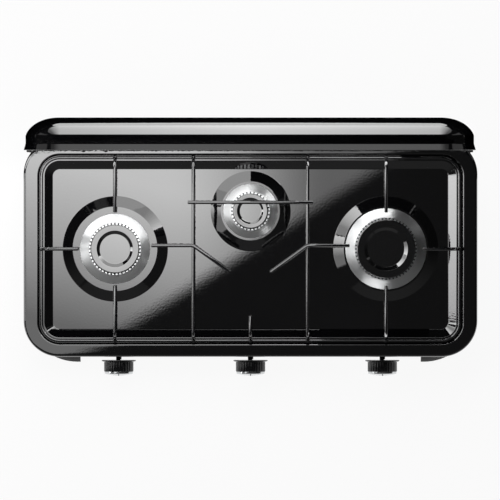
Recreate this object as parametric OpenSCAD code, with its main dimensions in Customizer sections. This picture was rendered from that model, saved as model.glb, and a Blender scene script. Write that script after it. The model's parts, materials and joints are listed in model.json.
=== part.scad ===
// Tabletop gas hob with three burners and a hinged lid, in millimetres.
// X runs left to right, Y from front to rear and Z up from the table.
// The lid is modelled closed and then turned about its hinge to stand open, as it rests.

/* [Top plate] */
// Overall width of the top plate
body_w = 660; // [640:1:700]
// Overall depth of the top plate
body_d = 318; // [312:1:336]
// Plan radius of the plate's outer corners
corner_r = 52.5; // [50:0.5:58]
// Height of the rim above the table
rim_top = 74; // [72:0.5:80]
// Thickness of the plate's steel
plate_t = 1; // [0.8:0.1:1.4]
// Height of the skirt that hangs from the rim
skirt_h = 26; // [20:0.5:27]
// Radius of the rim's outer edge
edge_r = 4; // [3:0.5:5]
// Width from the outer edge to the step inside the rim
rim_w = 21.3; // [20:0.1:22]
// Width of the ledge that carries the pan support
ledge_w = 11; // [10:0.5:13]
// Width of the slope between the ledge and the floor
slope_w = 8; // [6:0.5:9]
// Drop from the rim to the ledge
ledge_drop = 6.5; // [6:0.1:7.5]
// Drop from the rim to the sunken floor
floor_drop = 14; // [12:0.5:16]
// Distance that the recess sits forward of the plate's middle
recess_shift = 2.5; // [0:0.5:3]
// Radius of the bends in the plate
bend_r = 2; // [1.8:0.1:2.4]

/* [Burners] */
// Distance of the outer burners in from the plate's sides
burner_in = 133; // [126:0.5:140]
// Front to rear place of the outer burners
burner_y = -2; // [-6:0.5:4]
// Front to rear place of the middle burner
middle_burner_y = 53; // [48:0.5:58]
// Height of the raised bosses under the burners
boss_h = 6; // [4:0.5:7]
// Width of the slope around each boss
boss_slope = 15; // [12:0.5:17]
// Radius of the flat top of the outer bosses
outer_boss_r = 61.5; // [60:0.5:64]
// Radius of the flat top of the middle boss
middle_boss_r = 43; // [41:0.5:46]
// Radius of the left burner head
left_head_r = 51; // [46:0.5:58]
// Radius of the middle burner head
middle_head_r = 39.5; // [36:0.5:40.5]
// Radius of the right burner head
right_head_r = 59; // [54:0.5:59.5]
// Radius of the left burner cap
left_cap_r = 35.6; // [32:0.1:38]
// Radius of the middle burner cap
middle_cap_r = 25.8; // [23:0.1:28]
// Radius of the right burner cap
right_cap_r = 42.8; // [40:0.1:46]
// Height of the burner heads
head_h = 18; // [16:0.5:20]
// Thickness of the burner caps
cap_t = 5; // [4:0.5:6]
// Width of the flame slots
slot_w = 1.8; // [1.2:0.1:2.2]
// Distance between flame slots around the crown
slot_pitch = 5.4; // [5:0.1:8]

/* [Pan support] */
// Radius of the pan support's wire
wire_r = 2.5; // [2:0.1:2.6]
// Gap from the recess wall to the middle of the frame wire
frame_gap = 4.7; // [4.5:0.1:5.5]
// Height of the pan level wires above the frame wire
grate_h = 31; // [28:0.5:34]
// Distance that the legs lean out between pan level and frame
leg_lean = 9; // [7:0.5:12]
// Distance of the long wires from the middle
carrier_x = 83; // [78:0.5:88]
// Front to rear place of the cross wire
cross_y = 65.7; // [60:0.1:70]
// Distance from each outer burner's middle to its finger tips
tip_r = 53; // [45:0.5:58]
// Front to rear place of the outer end of the bent wires
elbow_y = 3; // [0:0.5:8]
// Distance of the bent wires' inner tips from the middle
elbow_tip_x = 29; // [24:0.5:36]
// Front to rear place of the bent wires' inner tips
elbow_tip_y = -36; // [-44:0.5:-30]
// Length of the short front finger up to its knee
front_finger = 27; // [20:0.5:34]

/* [Lid] */
// Inset of the lid's lip from the plate's sides
lid_side = 7; // [6:0.5:9]
// Depth of the lid from its lip to its crown
lid_depth = 46.5; // [44:0.5:52]
// Thickness of the lid's steel
lid_t = 1; // [0.8:0.1:1.2]
// Distance that the lip flares out
lip_flare = 2.6; // [2.4:0.1:2.8]
// Height of the flared lip
lip_h = 9; // [7:0.5:10]
// Height of the lid's side wall before the crown's curve starts
lid_wall = 20.5; // [20:0.5:23]
// Gap between the closed lid's lip and the rim
lid_gap = 3; // [2.8:0.1:4]
// Inset of the lid's front lip from the plate's front edge
lid_front = 9.5; // [8:0.5:12]

/* [Hinges] */
// Distance of the hinges in from the plate's sides
hinge_in = 103.5; // [94:0.5:130]
// Width of a hinge
hinge_w = 39; // [34:0.5:42]
// Width of each hinge ear
ear_w = 6.5; // [5:0.5:8]
// Distance of the hinge axis in front of the plate's rear edge
hinge_inset = 8.5; // [8:0.1:9]
// Height of the hinge axis above the closed lid's lip
hinge_rise = 9.5; // [9:0.1:10]
// Distance of the rear lip behind the hinge axis
lid_rear = 7; // [6.6:0.1:7.2]
// Radius of the hinge pins
pin_r = 1.5; // [1.2:0.1:1.8]
// Thickness of the hinge leaves
leaf_t = 1.5; // [1.2:0.1:1.8]

/* [Base and feet] */
// Thickness of the base tray's steel
tray_t = 1; // [0.8:0.1:1.4]
// Height of the tray's underside above the table
tray_z = 14; // [12:0.5:15]
// Inset of the tray's sides from the plate's sides
tray_side = 15; // [13:0.5:16]
// Inset of the tray's front and rear from the plate's edges
tray_front = 6.5; // [6:0.5:8]
// Plan radius of the tray's corners
tray_r = 62; // [58:0.5:66]
// Height of the feet's upper edge
foot_top = 46; // [36:0.5:47]
// Thickness of the feet's walls
foot_t = 3; // [2.5:0.1:4]
// Distance that a foot runs straight past its corner curve
foot_tail = 4.6; // [2:0.1:12]
// Radius of the rubber pads under the feet
pad_r = 11; // [8:0.5:13]
// Height of the rubber pads
pad_h = 8; // [7:0.5:9]

/* [Taps and knobs] */
// Distance of the outer knobs in from the plate's sides
knob_in = 138; // [133:0.5:142]
// Height of the tap axes above the table
tap_z = 44; // [43:0.5:46]
// Gap between the plate's front edge and the knobs
knob_gap = 5; // [3.6:0.1:8]
// Radius of the knobs' flanges
flange_r = 25; // [22:0.5:26]
// Thickness of the knobs' flanges
flange_t = 3; // [2:0.5:4]
// Radius of the knobs' grips
grip_r = 21.4; // [18:0.1:22]
// Length of the knobs' grips
grip_h = 14; // [12:0.5:18]
// Number of flutes around a grip
flutes = 32; // [12:1:40]
// Radius of each flute's cutter
flute_r = 1; // [0.6:0.1:1.2]
// Length of the bright cap's straight band
band_h = 3; // [2:0.5:5]
// Height of the bright cap's dome
dome_h = 2.9; // [2:0.1:4]
// Travel of a knob when pressed
press_travel = 3; // [2:0.5:3.5]
// Radius of the spindles
spindle_r = 4; // [3.5:0.1:4.5]
// Radius of the tap plugs
plug_r = 6.2; // [5.8:0.1:6.6]
// Radius of the tap bodies
tap_r = 11; // [10.5:0.1:12]
// Radius of the spring's wire
spring_wire = 0.5; // [0.4:0.05:0.6]
// Number of turns in the spring
spring_turns = 6; // [4:1:7]

/* [Gas pipes] */
// Outer radius of the gas rail
rail_r = 7; // [6.5:0.1:7.4]
// Outer radius of the supply pipes
pipe_r = 3; // [2.5:0.1:3.2]
// Outer radius of the inlet pipe
inlet_r = 6; // [5:0.1:6.5]
// Distance of the inlet pipe in from the plate's right side
inlet_in = 98; // [94:0.5:104]
// Radius of the hose tail's plain end
tail_r = 4.5; // [4:0.1:5]
// Length of the hose tail's plain end
tail_land = 12; // [8:0.5:14]

/* [Fits] */
// Radial clearance of turning and sliding fits
fit = 0.05; // [0.03:0.01:0.08]
// Clearance between parts that pass each other
pass = 0.3; // [0.2:0.05:0.4]
// Depth that welded wires sink into each other
weld = 0.3; // [0.2:0.05:0.5]

/* [Hidden] */
$fn = 64;
enamel = "#141416";
ally = "#c4c6c8";
brass = "#b8964f";
zinc = "#8f9498";
steel = "#a4a7aa";
rubber = "#2a2a2a";
plastic = "#1c1c1e";
chrome = "#d8dadc";

// Levels of the plate
ledge_z = rim_top - ledge_drop;
floor_z = rim_top - floor_drop;
boss_top = floor_z + boss_h;
rim_under = rim_top - plate_t;
skirt_z = rim_top - skirt_h;

// Plan of the recess
recess_w = body_w - 2 * rim_w;
recess_d = body_d - 2 * rim_w;
recess_r = corner_r - rim_w;
floor_in = ledge_w + slope_w;
lap = 3;

// Burner parts
burner_x = body_w / 2 - burner_in;
crown_lip = 2.5;
crown_t = 4.5;
cone_h = 9.5;
head_floor = 4;
head_edge = 1.5;
spigot_r = 11;
spigot_t = 2;
spigot_h = 5;
cup_wall = 2.5;
cup_lip = 1;
cup_flange = 8;
flange_h = 3;
cup_drop = 6;
cup_boss_r = 9;
jet_r = 3.5;
jet_h = 12;
small_screw = 1.6;

// Pan support
frame_w = recess_w - 2 * frame_gap;
frame_d = recess_d - 2 * frame_gap;
frame_r = recess_r - frame_gap;
seat = 0.1;
frame_z = ledge_z + wire_r + seat;
pan_z = frame_z + grate_h;
carrier_z = pan_z - 2 * wire_r + weld;
frame_rear = frame_d / 2 - recess_shift;
frame_front = -frame_d / 2 - recess_shift;
knee_r = 6;
bite = 0.1;

// Lid and hinges
lid_w = body_w - 2 * lid_side;
lip_z = rim_top + lid_gap;
hinge_x = body_w / 2 - hinge_in;
hinge_y = body_d / 2 - hinge_inset;
hinge_z = lip_z + hinge_rise;
lip_rear = hinge_y + lid_rear;
lip_front = -body_d / 2 + lid_front;
lid_d = lip_rear - lip_front;
lid_y = (lip_rear + lip_front) / 2;
lid_r = corner_r;
wall_r = lid_r - lip_flare;
crown_a = wall_r - 3;
crown_b = lid_depth - lid_wall;
// Angle on the crown's ellipse where it leaves the wall in a tight bend, and its steps
crown_start = 11.4;
crown_steps = 10;
wall_out = lip_rear - lip_flare;
wall_in = wall_out - lid_t;
knuckle_r = wall_in - hinge_y - pass;
notch_h = hinge_rise + knuckle_r + 1;
leaf_front = hinge_y - 12;
leaf_rear = body_d / 2 - 1.5;
heel_y = hinge_y - hinge_rise + notch_h + 0.5;
heel_top = hinge_z - (wall_out - hinge_y) - fit;
mid_knuckle = hinge_w - 2 * ear_w - 2 * pass;
rivet_z = lip_z + (notch_h + lid_wall) / 2;
rivet_r = 1.5;
hinge_screw_h = 8;
hinge_screw_head = 1.6;
buffer_y = 75;
buffer_l = 14;
buffer_t = 3.5;

// Tray and feet
tray_w = body_w - 2 * tray_side;
tray_d = body_d - 2 * tray_front;
tray_bend = 4;
floor_top = tray_z + tray_t;
tray_top = ledge_z - plate_t - pass;
foot_x = tray_w / 2 - tray_r;
foot_y = tray_d / 2 - tray_r;
foot_out = tray_r + tray_side;
foot_in = tray_r + 6;
foot_low = 4;
post_r = 3.2;
post_x = recess_w / 2 - ledge_w / 2;
post_gap = 15.9;
post_y = foot_y - foot_tail - post_gap;
post_bore = 1.6;
post_bore_h = 15;
post_screw_h = 12;
screw_lap = 0.1;
foot_screw_at = 20;
pad_at = 36;
screw_r = 2;
screw_head_r = 4;
screw_head_h = 2.6;

// Taps, counted forward from the rear face of the tap body
knob_x = body_w / 2 - knob_in;
fascia_in = -tray_d / 2 + tray_t;
tap_h = 42;
bonnet_t = 4;
tap_rear = fascia_in + pass + tap_h + bonnet_t;
inlet_at = 16;
plug_at = 8;
chamber_at = 25;
chamber_r = 8.2;
collar_r = 7;
collar_t = 3.2;
collar_at = tap_h - pass - collar_t;
tang_r = 2.5;
tang_at = chamber_at - 9;
knob_face = tap_rear + body_d / 2 + knob_gap;
bore_h = 12;
stub_r = 4;
port_r = 2;
pipe_wall = 1;

// Gas pipes
inlet_x = body_w / 2 - inlet_in;
rail_z = tap_z - tap_r - rail_r - 0.5;
rail_y = tap_rear - inlet_at;
rail_bore = 5;
rail_end = 24;
rail_left = -knob_x - rail_end;
elbow_w = 22;
rail_seat = 4;
elbow_low = rail_z - floor_top - pass;
inlet_wall = 1.5;
nut_r = 10;
fitting_r = rail_z - floor_top - tray_bend + tray_t - pass;
thread_r = 6.5;
fitting_y = tray_d / 2 - tray_t - 12;
nut_h = 5;

// Side of each outer burner, knob and hinge: left, then right
sides = [-1, 1];

// Vector helpers
function unit(v) = v / norm(v);
function left(v) = [-v[1], v[0]];
function turn(u, v) = atan2(u[0] * v[1] - u[1] * v[0], u * v);
function spun(v, q) = [v[0] * cos(q) - v[1] * sin(q), v[0] * sin(q) + v[1] * cos(q)];

// Points of a rounded bend at b on the path a, b, c, for the line t to the left of the path
function bend(a, b, c, r, t) =
    let (u = unit(b - a))
    let (k = turn(u, unit(c - b)))
    let (s = sign(k))
    let (mid = b - u * r * tan(abs(k) / 2) + s * left(u) * r)
    [for (i = [0 : 4]) mid + (r - s * t) * spun(-s * left(u), k * i / 4)];

// Line t to the left of a path, with the same bend radius at every inner point
function path_line(p, r, t) =
    let (n = len(p) - 1)
    concat(
        [p[0] + t * left(unit(p[1] - p[0]))],
        [for (i = [1 : n - 1]) each bend(p[i - 1], p[i], p[i + 1], r, t)],
        [p[n] + t * left(unit(p[n] - p[n - 1]))]
    );

// Value rounded to a hundredth of a millimetre or degree
function even(v) = round(v * 100) / 100;

function reversed(p) = [for (i = [len(p) - 1 : -1 : 0]) p[i]];

// Cross-section of bent sheet of thickness t whose outer face follows the path
function sheet(p, r, t) = concat(path_line(p, r, 0), reversed(path_line(p, r, t)));

// Rectangle with round corners
module round_rect(w, d, r) {
    square([w - 2 * r, d], center = true);
    square([w, d - 2 * r], center = true);
    for (x = sides, y = sides)
        translate([x * (w / 2 - r), y * (d / 2 - r)])
            circle(r);
}

// Carries a cross-section, drawn outward from the corner centres, around a round rectangle
module around(w, d, r) {
    for (i = [0 : 3]) {
        hx = (i % 2 == 0 ? w : d) / 2 - r;
        hy = (i % 2 == 0 ? d : w) / 2 - r;
        rotate([0, 0, 90 * i])
            translate([hx, hy, 0]) {
                rotate([90, 0, 0])
                    linear_extrude(height = 2 * hy)
                        children();
                rotate_extrude(angle = 90)
                    children();
            }
    }
}

// Straight wire of the given length, forward along Y from the origin
module rod(length) {
    rotate([-90, 0, 0])
        cylinder(h = length, r = wire_r);
}

// Wire that bends by the angle q in the XY plane: it comes in along Y to the origin, over the
// length before, turns towards -X with the radius k and runs on over the length after.
// The bend is a hair thicker than the straight parts, which end just inside it
module bent_rod(q, k, before, after) {
    if (before > 0)
        translate([0, -before, 0])
            rod(before + bite);
    translate([-k, 0, 0]) {
        rotate_extrude(angle = q)
            translate([k, 0])
                circle(wire_r + bite / 5);
        rotate([0, 0, q])
            translate([k, -bite, 0])
                rod(after + bite);
    }
}

// Round bar with a flat at distance f from its axis
module d_bar(r, f, h) {
    difference() {
        cylinder(h = h, r = r);
        translate([f, -r, -1])
            cube([r, 2 * r, h + 2]);
    }
}

// Places a part, built forward along Z, on a tap axis
module on_tap(x) {
    translate([x, tap_rear, tap_z])
        rotate([90, 0, 0])
            children();
}

// Turns a part of the closed lid to its open rest pose
module opened() {
    translate([0, hinge_y, hinge_z])
        rotate([-90, 0, 0])
            translate([0, -hinge_y, -hinge_z])
                children();
}

// Radius of the hole in a boss, and of the circle of the cup's screws
function hole_r(cap_r) = cap_r - 6;
function cup_screw_at(cap_r) = hole_r(cap_r) - cup_lip + cup_wall + pass + 2 * small_screw;

// Raised boss with its central hole
module boss(top_r, hole) {
    foot = top_r + boss_slope + lap;
    path = [[foot, floor_z], [top_r + boss_slope, floor_z], [top_r, boss_top], [hole, boss_top]];
    rotate_extrude()
        polygon(sheet(path, bend_r, plate_t));
}

// Holes for the cup screws around a boss
module cup_screw_holes(cap_r) {
    for (s = sides)
        translate([s * cup_screw_at(cap_r), 0, floor_z - 1])
            cylinder(h = boss_h + 2, r = small_screw + fit);
}

module top_plate() {
    rim_path = [[corner_r, skirt_z], [corner_r, rim_top], [corner_r - edge_r - lap, rim_top]];
    recess_path = [
        [recess_r + bend_r + lap, rim_top],
        [recess_r, rim_top],
        [recess_r, ledge_z],
        [recess_r - ledge_w, ledge_z],
        [recess_r - floor_in, floor_z],
        [recess_r - floor_in - lap, floor_z]
    ];
    rim_in = 2 * (edge_r + lap);
    floor_cut = 2 * (floor_in + lap);
    mouth = 2 * (bend_r + lap);
    color(enamel)
        difference() {
            union() {
                around(body_w, body_d, corner_r)
                    polygon(sheet(rim_path, edge_r, plate_t));
                translate([0, 0, rim_under])
                    linear_extrude(height = plate_t)
                        difference() {
                            round_rect(body_w - rim_in, body_d - rim_in, corner_r - rim_in / 2);
                            translate([0, -recess_shift])
                                round_rect(recess_w + mouth, recess_d + mouth, recess_r + mouth / 2);
                        }
                translate([0, -recess_shift, 0])
                    around(recess_w, recess_d, recess_r)
                        polygon(sheet(recess_path, bend_r, plate_t));
                translate([0, 0, floor_z - plate_t])
                    linear_extrude(height = plate_t)
                        difference() {
                            translate([0, -recess_shift])
                                round_rect(recess_w - floor_cut, recess_d - floor_cut,
                                    recess_r - floor_cut / 2);
                            for (s = sides)
                                translate([s * burner_x, burner_y])
                                    circle(outer_boss_r + boss_slope + lap);
                            translate([0, middle_burner_y])
                                circle(middle_boss_r + boss_slope + lap);
                        }
                translate([-burner_x, burner_y, 0])
                    boss(outer_boss_r, hole_r(left_cap_r));
                translate([burner_x, burner_y, 0])
                    boss(outer_boss_r, hole_r(right_cap_r));
                translate([0, middle_burner_y, 0])
                    boss(middle_boss_r, hole_r(middle_cap_r));
            }
            translate([-burner_x, burner_y, 0])
                cup_screw_holes(left_cap_r);
            translate([burner_x, burner_y, 0])
                cup_screw_holes(right_cap_r);
            translate([0, middle_burner_y, 0])
                cup_screw_holes(middle_cap_r);
            hinge_screw_places()
                cylinder(h = 4 * plate_t, r = small_screw + fit, center = true);
        }
}

// Pressed tray that closes the body from below
module base_tray() {
    path = [[tray_r - tray_bend - lap, tray_z], [tray_r, tray_z], [tray_r, tray_top]];
    cut = 2 * (tray_bend + lap);
    color(enamel)
        difference() {
            union() {
                around(tray_w, tray_d, tray_r)
                    polygon(sheet(path, tray_bend, tray_t));
                translate([0, 0, tray_z])
                    linear_extrude(height = tray_t)
                        round_rect(tray_w - cut, tray_d - cut, tray_r - cut / 2);
            }
            for (x = [-knob_x, 0, knob_x])
                translate([x, -tray_d / 2, tap_z])
                    rotate([90, 0, 0])
                        cylinder(h = 6 * tray_t, r = spindle_r + 1, center = true);
            translate([inlet_x, tray_d / 2, rail_z])
                rotate([90, 0, 0])
                    cylinder(h = 6 * tray_t, r = thread_r + fit, center = true);
            foot_places()
                translate([foot_screw_at, foot_screw_at, tray_z])
                    cylinder(h = 4 * tray_t, r = screw_r + fit, center = true);
            post_places()
                translate([0, 0, tray_z])
                    cylinder(h = 4 * tray_t, r = post_bore + fit, center = true);
        }
}

module post_places() {
    for (x = sides, y = sides)
        translate([x * post_x, y * post_y, 0])
            children();
}

// Posts between the tray and the plate's ledge
module tray_posts() {
    color(steel)
        post_places()
            difference() {
                translate([0, 0, floor_top])
                    cylinder(h = ledge_z - plate_t - floor_top, r = post_r);
                translate([0, 0, floor_top - 1])
                    cylinder(h = post_bore_h, r = post_bore + fit);
            }
}

module tray_screws() {
    color(steel)
        post_places() {
            translate([0, 0, tray_z - screw_head_h])
                cylinder(h = screw_head_h, r = 2 * post_bore);
            translate([0, 0, tray_z - screw_lap])
                cylinder(h = post_screw_h, r = post_bore);
        }
}

// Corner places, turned so that the corner always lies along X and Y
module foot_place(x, y) {
    translate([x * foot_x, y * foot_y, 0])
        mirror([x < 0 ? 1 : 0, 0, 0])
            mirror([0, y < 0 ? 1 : 0, 0])
                children();
}

module foot_places() {
    for (x = sides, y = sides)
        foot_place(x, y)
            children();
}

// Corner foot with a wall that flares out towards the table
module foot() {
    lean = foot_out - foot_in;
    shelf = foot_out - lean * (tray_z - foot_low) / (foot_top - foot_low) - foot_t / 2;
    wall = [
        [foot_out - foot_t, foot_low],
        [foot_out, foot_low],
        [foot_in, foot_top],
        [foot_in - foot_t, foot_top]
    ];
    difference() {
        union() {
            rotate_extrude(angle = 90)
                polygon(wall);
            rotate([90, 0, 0])
                linear_extrude(height = foot_tail)
                    polygon(wall);
            translate([-foot_tail, 0, 0])
                rotate([0, 0, 90])
                    rotate([90, 0, 0])
                        linear_extrude(height = foot_tail)
                            polygon(wall);
            translate([0, 0, pad_h])
                linear_extrude(height = tray_z - pad_h)
                    intersection() {
                        circle(shelf);
                        translate([-foot_tail, -foot_tail])
                            square(2 * shelf);
                    }
        }
        translate([foot_screw_at, foot_screw_at, 0])
            cylinder(h = tray_z + 1, r = screw_r + fit);
        translate([pad_at, pad_at, 0])
            cylinder(h = pad_h + 4, r = pad_r / 3 + fit);
    }
}

module foot_front_left() {
    color(plastic)
        foot_place(-1, -1)
            foot();
}

module foot_front_right() {
    color(plastic)
        foot_place(1, -1)
            foot();
}

module foot_rear_left() {
    color(plastic)
        foot_place(-1, 1)
            foot();
}

module foot_rear_right() {
    color(plastic)
        foot_place(1, 1)
            foot();
}

// Rubber pads, each with a stem in its foot
module foot_pads() {
    color(rubber)
        foot_places()
            translate([pad_at, pad_at, 0]) {
                cylinder(h = pad_h, r = pad_r);
                cylinder(h = pad_h + 3.5, r = pad_r / 3);
            }
}

module foot_screws() {
    color(steel)
        foot_places()
            translate([foot_screw_at, foot_screw_at, 0]) {
                translate([0, 0, pad_h - screw_head_h])
                    cylinder(h = screw_head_h, r = screw_head_r);
                translate([0, 0, pad_h - 0.1])
                    cylinder(h = tray_z - pad_h + 4, r = screw_r);
            }
}

// Tube along the front that feeds the three taps
module gas_rail() {
    color(zinc)
        difference() {
            translate([rail_left, rail_y, rail_z])
                rotate([0, 90, 0])
                    cylinder(h = inlet_x - elbow_w / 2 + rail_seat - rail_left, r = rail_r);
            translate([rail_left - 1, rail_y, rail_z])
                rotate([0, 90, 0])
                    cylinder(h = inlet_x - rail_left, r = rail_bore);
            for (x = [-knob_x, 0, knob_x])
                translate([x, rail_y, rail_z])
                    cylinder(h = rail_r + 1, r = stub_r + fit);
        }
}

// Plug that closes the rail's left end
module rail_plug() {
    color(brass)
        translate([rail_left, rail_y, rail_z])
            rotate([0, -90, 0]) {
                cylinder(h = 4, r = rail_r);
                translate([0, 0, -8])
                    cylinder(h = 8.1, r = rail_bore - fit);
            }
}

// Corner block that joins the rail to the inlet pipe
module rail_elbow() {
    color(brass)
        difference() {
            translate([inlet_x - elbow_w / 2, rail_y - elbow_w / 2, rail_z - elbow_low])
                cube([elbow_w, elbow_w, elbow_low + rail_r + 2]);
            translate([inlet_x - elbow_w / 2 - 1, rail_y, rail_z])
                rotate([0, 90, 0])
                    cylinder(h = 1 + rail_seat + fit, r = rail_r + fit);
            translate([inlet_x - elbow_w / 2, rail_y, rail_z])
                rotate([0, 90, 0])
                    cylinder(h = elbow_w / 2, r = rail_bore - 1);
            translate([inlet_x, rail_y + elbow_w / 2 + 1, rail_z])
                rotate([90, 0, 0])
                    cylinder(h = 7 + fit, r = inlet_r + fit);
            translate([inlet_x, rail_y + elbow_w / 2, rail_z])
                rotate([90, 0, 0])
                    cylinder(h = elbow_w / 2, r = rail_bore - 1);
        }
}

// Two saddles that hold the rail off the tray
module rail_brackets() {
    color(zinc)
        for (s = sides)
            difference() {
                translate([s * knob_x / 2 - 6, rail_y - rail_r - 4, floor_top])
                    cube([12, 2 * rail_r + 8, rail_z - floor_top]);
                translate([s * knob_x / 2, rail_y, rail_z])
                    rotate([0, 90, 0])
                        cylinder(h = 14, r = rail_r + fit, center = true);
            }
}

module inlet_pipe() {
    start = rail_y + elbow_w / 2 - 6;
    color(zinc)
        translate([inlet_x, start, rail_z])
            rotate([-90, 0, 0])
                difference() {
                    cylinder(h = fitting_y + 6 - start, r = inlet_r);
                    translate([0, 0, -1])
                        cylinder(h = fitting_y + 8 - start, r = inlet_r - inlet_wall);
                }
}

// Fitting through the tray's rear wall, with a plain end for the gas hose
module hose_tail() {
    wall_h = tray_d / 2 - fitting_y;
    ridge = tail_r + 0.6;
    color(brass)
        translate([inlet_x, fitting_y, rail_z])
            rotate([-90, 0, 0])
                difference() {
                    union() {
                        cylinder(h = wall_h - tray_t, r = fitting_r);
                        cylinder(h = wall_h + nut_h + 1, r = thread_r);
                        cylinder(h = wall_h + nut_h + 9, r = tail_r);
                        translate([0, 0, wall_h + nut_h + 3])
                            cylinder(h = 3, r1 = ridge, r2 = tail_r);
                        translate([0, 0, wall_h + nut_h + 6])
                            cylinder(h = 3, r1 = ridge, r2 = tail_r);
                        translate([0, 0, wall_h + nut_h + 9])
                            cylinder(h = tail_land, r = tail_r);
                        translate([0, 0, wall_h + nut_h + 9 + tail_land])
                            cylinder(h = 2, r1 = tail_r, r2 = tail_r - 1);
                    }
                    translate([0, 0, -1])
                        cylinder(h = 7 + fit, r = inlet_r + fit);
                    cylinder(h = wall_h + nut_h + tail_land + 12, r = port_r);
                }
}

module hose_nut() {
    color(brass)
        translate([inlet_x, tray_d / 2, rail_z])
            rotate([-90, 0, 0])
                difference() {
                    linear_extrude(height = nut_h)
                        circle(r = nut_r, $fn = 6);
                    translate([0, 0, -1])
                        cylinder(h = nut_h + 2, r = thread_r + fit);
                }
}

// Tap body with its plug bore, spring chamber and stub down to the rail
module tap_body(x) {
    color(brass)
        difference() {
            union() {
                on_tap(x)
                    cylinder(h = tap_h, r = tap_r);
                translate([x, rail_y, rail_z + rail_bore - 1])
                    cylinder(h = tap_z - rail_z - tap_r - rail_bore + 3, r = stub_r);
            }
            on_tap(x) {
                translate([0, 0, chamber_at])
                    cylinder(h = tap_h, r = chamber_r);
                translate([0, 0, plug_at])
                    cylinder(h = tap_h, r = plug_r + fit);
                translate([0, 0, -1])
                    cylinder(h = plug_at + 2, r = port_r);
                translate([0, 0, -1])
                    cylinder(h = 6, r = pipe_r + fit);
            }
            translate([x, rail_y, rail_z])
                cylinder(h = tap_z - rail_z, r = port_r);
        }
}

module left_tap_body() {
    tap_body(-knob_x);
}

module middle_tap_body() {
    tap_body(0);
}

module right_tap_body() {
    tap_body(knob_x);
}

// Bonnets that close the taps behind the fascia
module tap_bonnets() {
    color(brass)
        for (x = [-knob_x, 0, knob_x])
            on_tap(x)
                translate([0, 0, tap_h])
                    difference() {
                        cylinder(h = bonnet_t, r = tap_r);
                        translate([0, 0, -1])
                            cylinder(h = bonnet_t + 2, r = spindle_r + fit);
                    }
}

// Turning plug with a gas passage and a socket for the spindle
module plug(x) {
    socket = tang_at - press_travel - 0.5;
    color(brass)
        on_tap(x)
            difference() {
                translate([0, 0, plug_at + pass])
                    cylinder(h = chamber_at - plug_at - 2 * pass, r = plug_r);
                translate([0, 0, socket])
                    d_bar(tang_r + fit, tang_r * 0.6 + fit, 20);
                translate([0, 0, plug_at])
                    cylinder(h = 3.5, r = port_r);
            }
}

module left_plug() {
    plug(-knob_x);
}

module middle_plug() {
    plug(0);
}

module right_plug() {
    plug(knob_x);
}

// Spindle with a tang in the plug, a collar behind the bonnet and a flat for the knob
module spindle(x) {
    color(steel)
        on_tap(x) {
            translate([0, 0, tang_at])
                d_bar(tang_r, tang_r * 0.6, collar_at - tang_at + 0.5);
            translate([0, 0, collar_at])
                cylinder(h = collar_t, r = collar_r);
            translate([0, 0, collar_at + 1])
                cylinder(h = knob_face - collar_at - 2, r = spindle_r);
            translate([0, 0, knob_face - 1.5])
                d_bar(spindle_r, spindle_r * 0.6, bore_h + 1);
        }
}

module left_spindle() {
    spindle(-knob_x);
}

module middle_spindle() {
    spindle(0);
}

module right_spindle() {
    spindle(knob_x);
}

// Return spring around the tang, from the plug to the collar
module spring(x) {
    sides_n = 6;
    steps = 14;
    from = chamber_at - pass + spring_wire + 0.15;
    span = collar_at - spring_wire - 0.15 - from;
    count = spring_turns * steps;
    mean_r = (tang_r + chamber_r) / 2;
    ring = [for (k = [0 : sides_n - 1]) spring_wire * [cos(k * 360 / sides_n), sin(k * 360 / sides_n)]];
    points = [
        for (i = [0 : count], p = ring)
            let (q = i * 360 / steps)
            [(mean_r + p[0]) * cos(q), (mean_r + p[0]) * sin(q), from + span * i / count + p[1]]
    ];
    wall = [
        for (i = [0 : count - 1], k = [0 : sides_n - 1])
            let (a = i * sides_n + k)
            let (b = i * sides_n + (k + 1) % sides_n)
            [a, a + sides_n, b + sides_n, b]
    ];
    start = [[for (k = [0 : sides_n - 1]) k]];
    end = [[for (k = [sides_n - 1 : -1 : 0]) count * sides_n + k]];
    color(steel)
        on_tap(x)
            polyhedron(points = points, faces = concat(start, wall, end));
}

module left_spring() {
    spring(-knob_x);
}

module middle_spring() {
    spring(0);
}

module right_spring() {
    spring(knob_x);
}

// Fluted grip with a flange at the rear
module knob(x) {
    color(plastic)
        on_tap(x)
            translate([0, 0, knob_face])
                difference() {
                    union() {
                        cylinder(h = flange_t, r = flange_r);
                        cylinder(h = flange_t + grip_h, r = grip_r);
                    }
                    translate([0, 0, -1])
                        d_bar(spindle_r + fit, spindle_r * 0.6 + fit, bore_h + 2);
                    for (i = [0 : flutes - 1])
                        rotate([0, 0, i * 360 / flutes])
                            translate([grip_r + flute_r * 0.4, 0, flange_t + 1])
                                cylinder(h = grip_h - 2, r = flute_r, $fn = 24);
                }
}

module left_knob() {
    knob(-knob_x);
}

module middle_knob() {
    knob(0);
}

module right_knob() {
    knob(knob_x);
}

// Bright front cap with a domed face and a pointer bar
module knob_cap(x) {
    rim = grip_r - 0.7;
    dome = (rim * rim + dome_h * dome_h) / (2 * dome_h);
    edge = asin(rim / dome);
    face = [for (i = [0 : 8]) let (q = edge * (1 - i / 8)) dome * [sin(q), cos(q)]];
    profile = concat([[0, 0], [rim, 0]], [for (p = face) [p[0], p[1] + band_h + dome_h - dome]]);
    color(chrome)
        on_tap(x)
            translate([0, 0, knob_face + flange_t + grip_h]) {
                rotate_extrude()
                    polygon(profile);
                translate([-0.8, rim * 0.35, band_h / 2])
                    cube([1.6, rim * 0.5, dome_h + band_h / 2]);
            }
}

module left_knob_cap() {
    knob_cap(-knob_x);
}

module middle_knob_cap() {
    knob_cap(0);
}

module right_knob_cap() {
    knob_cap(knob_x);
}

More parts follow.
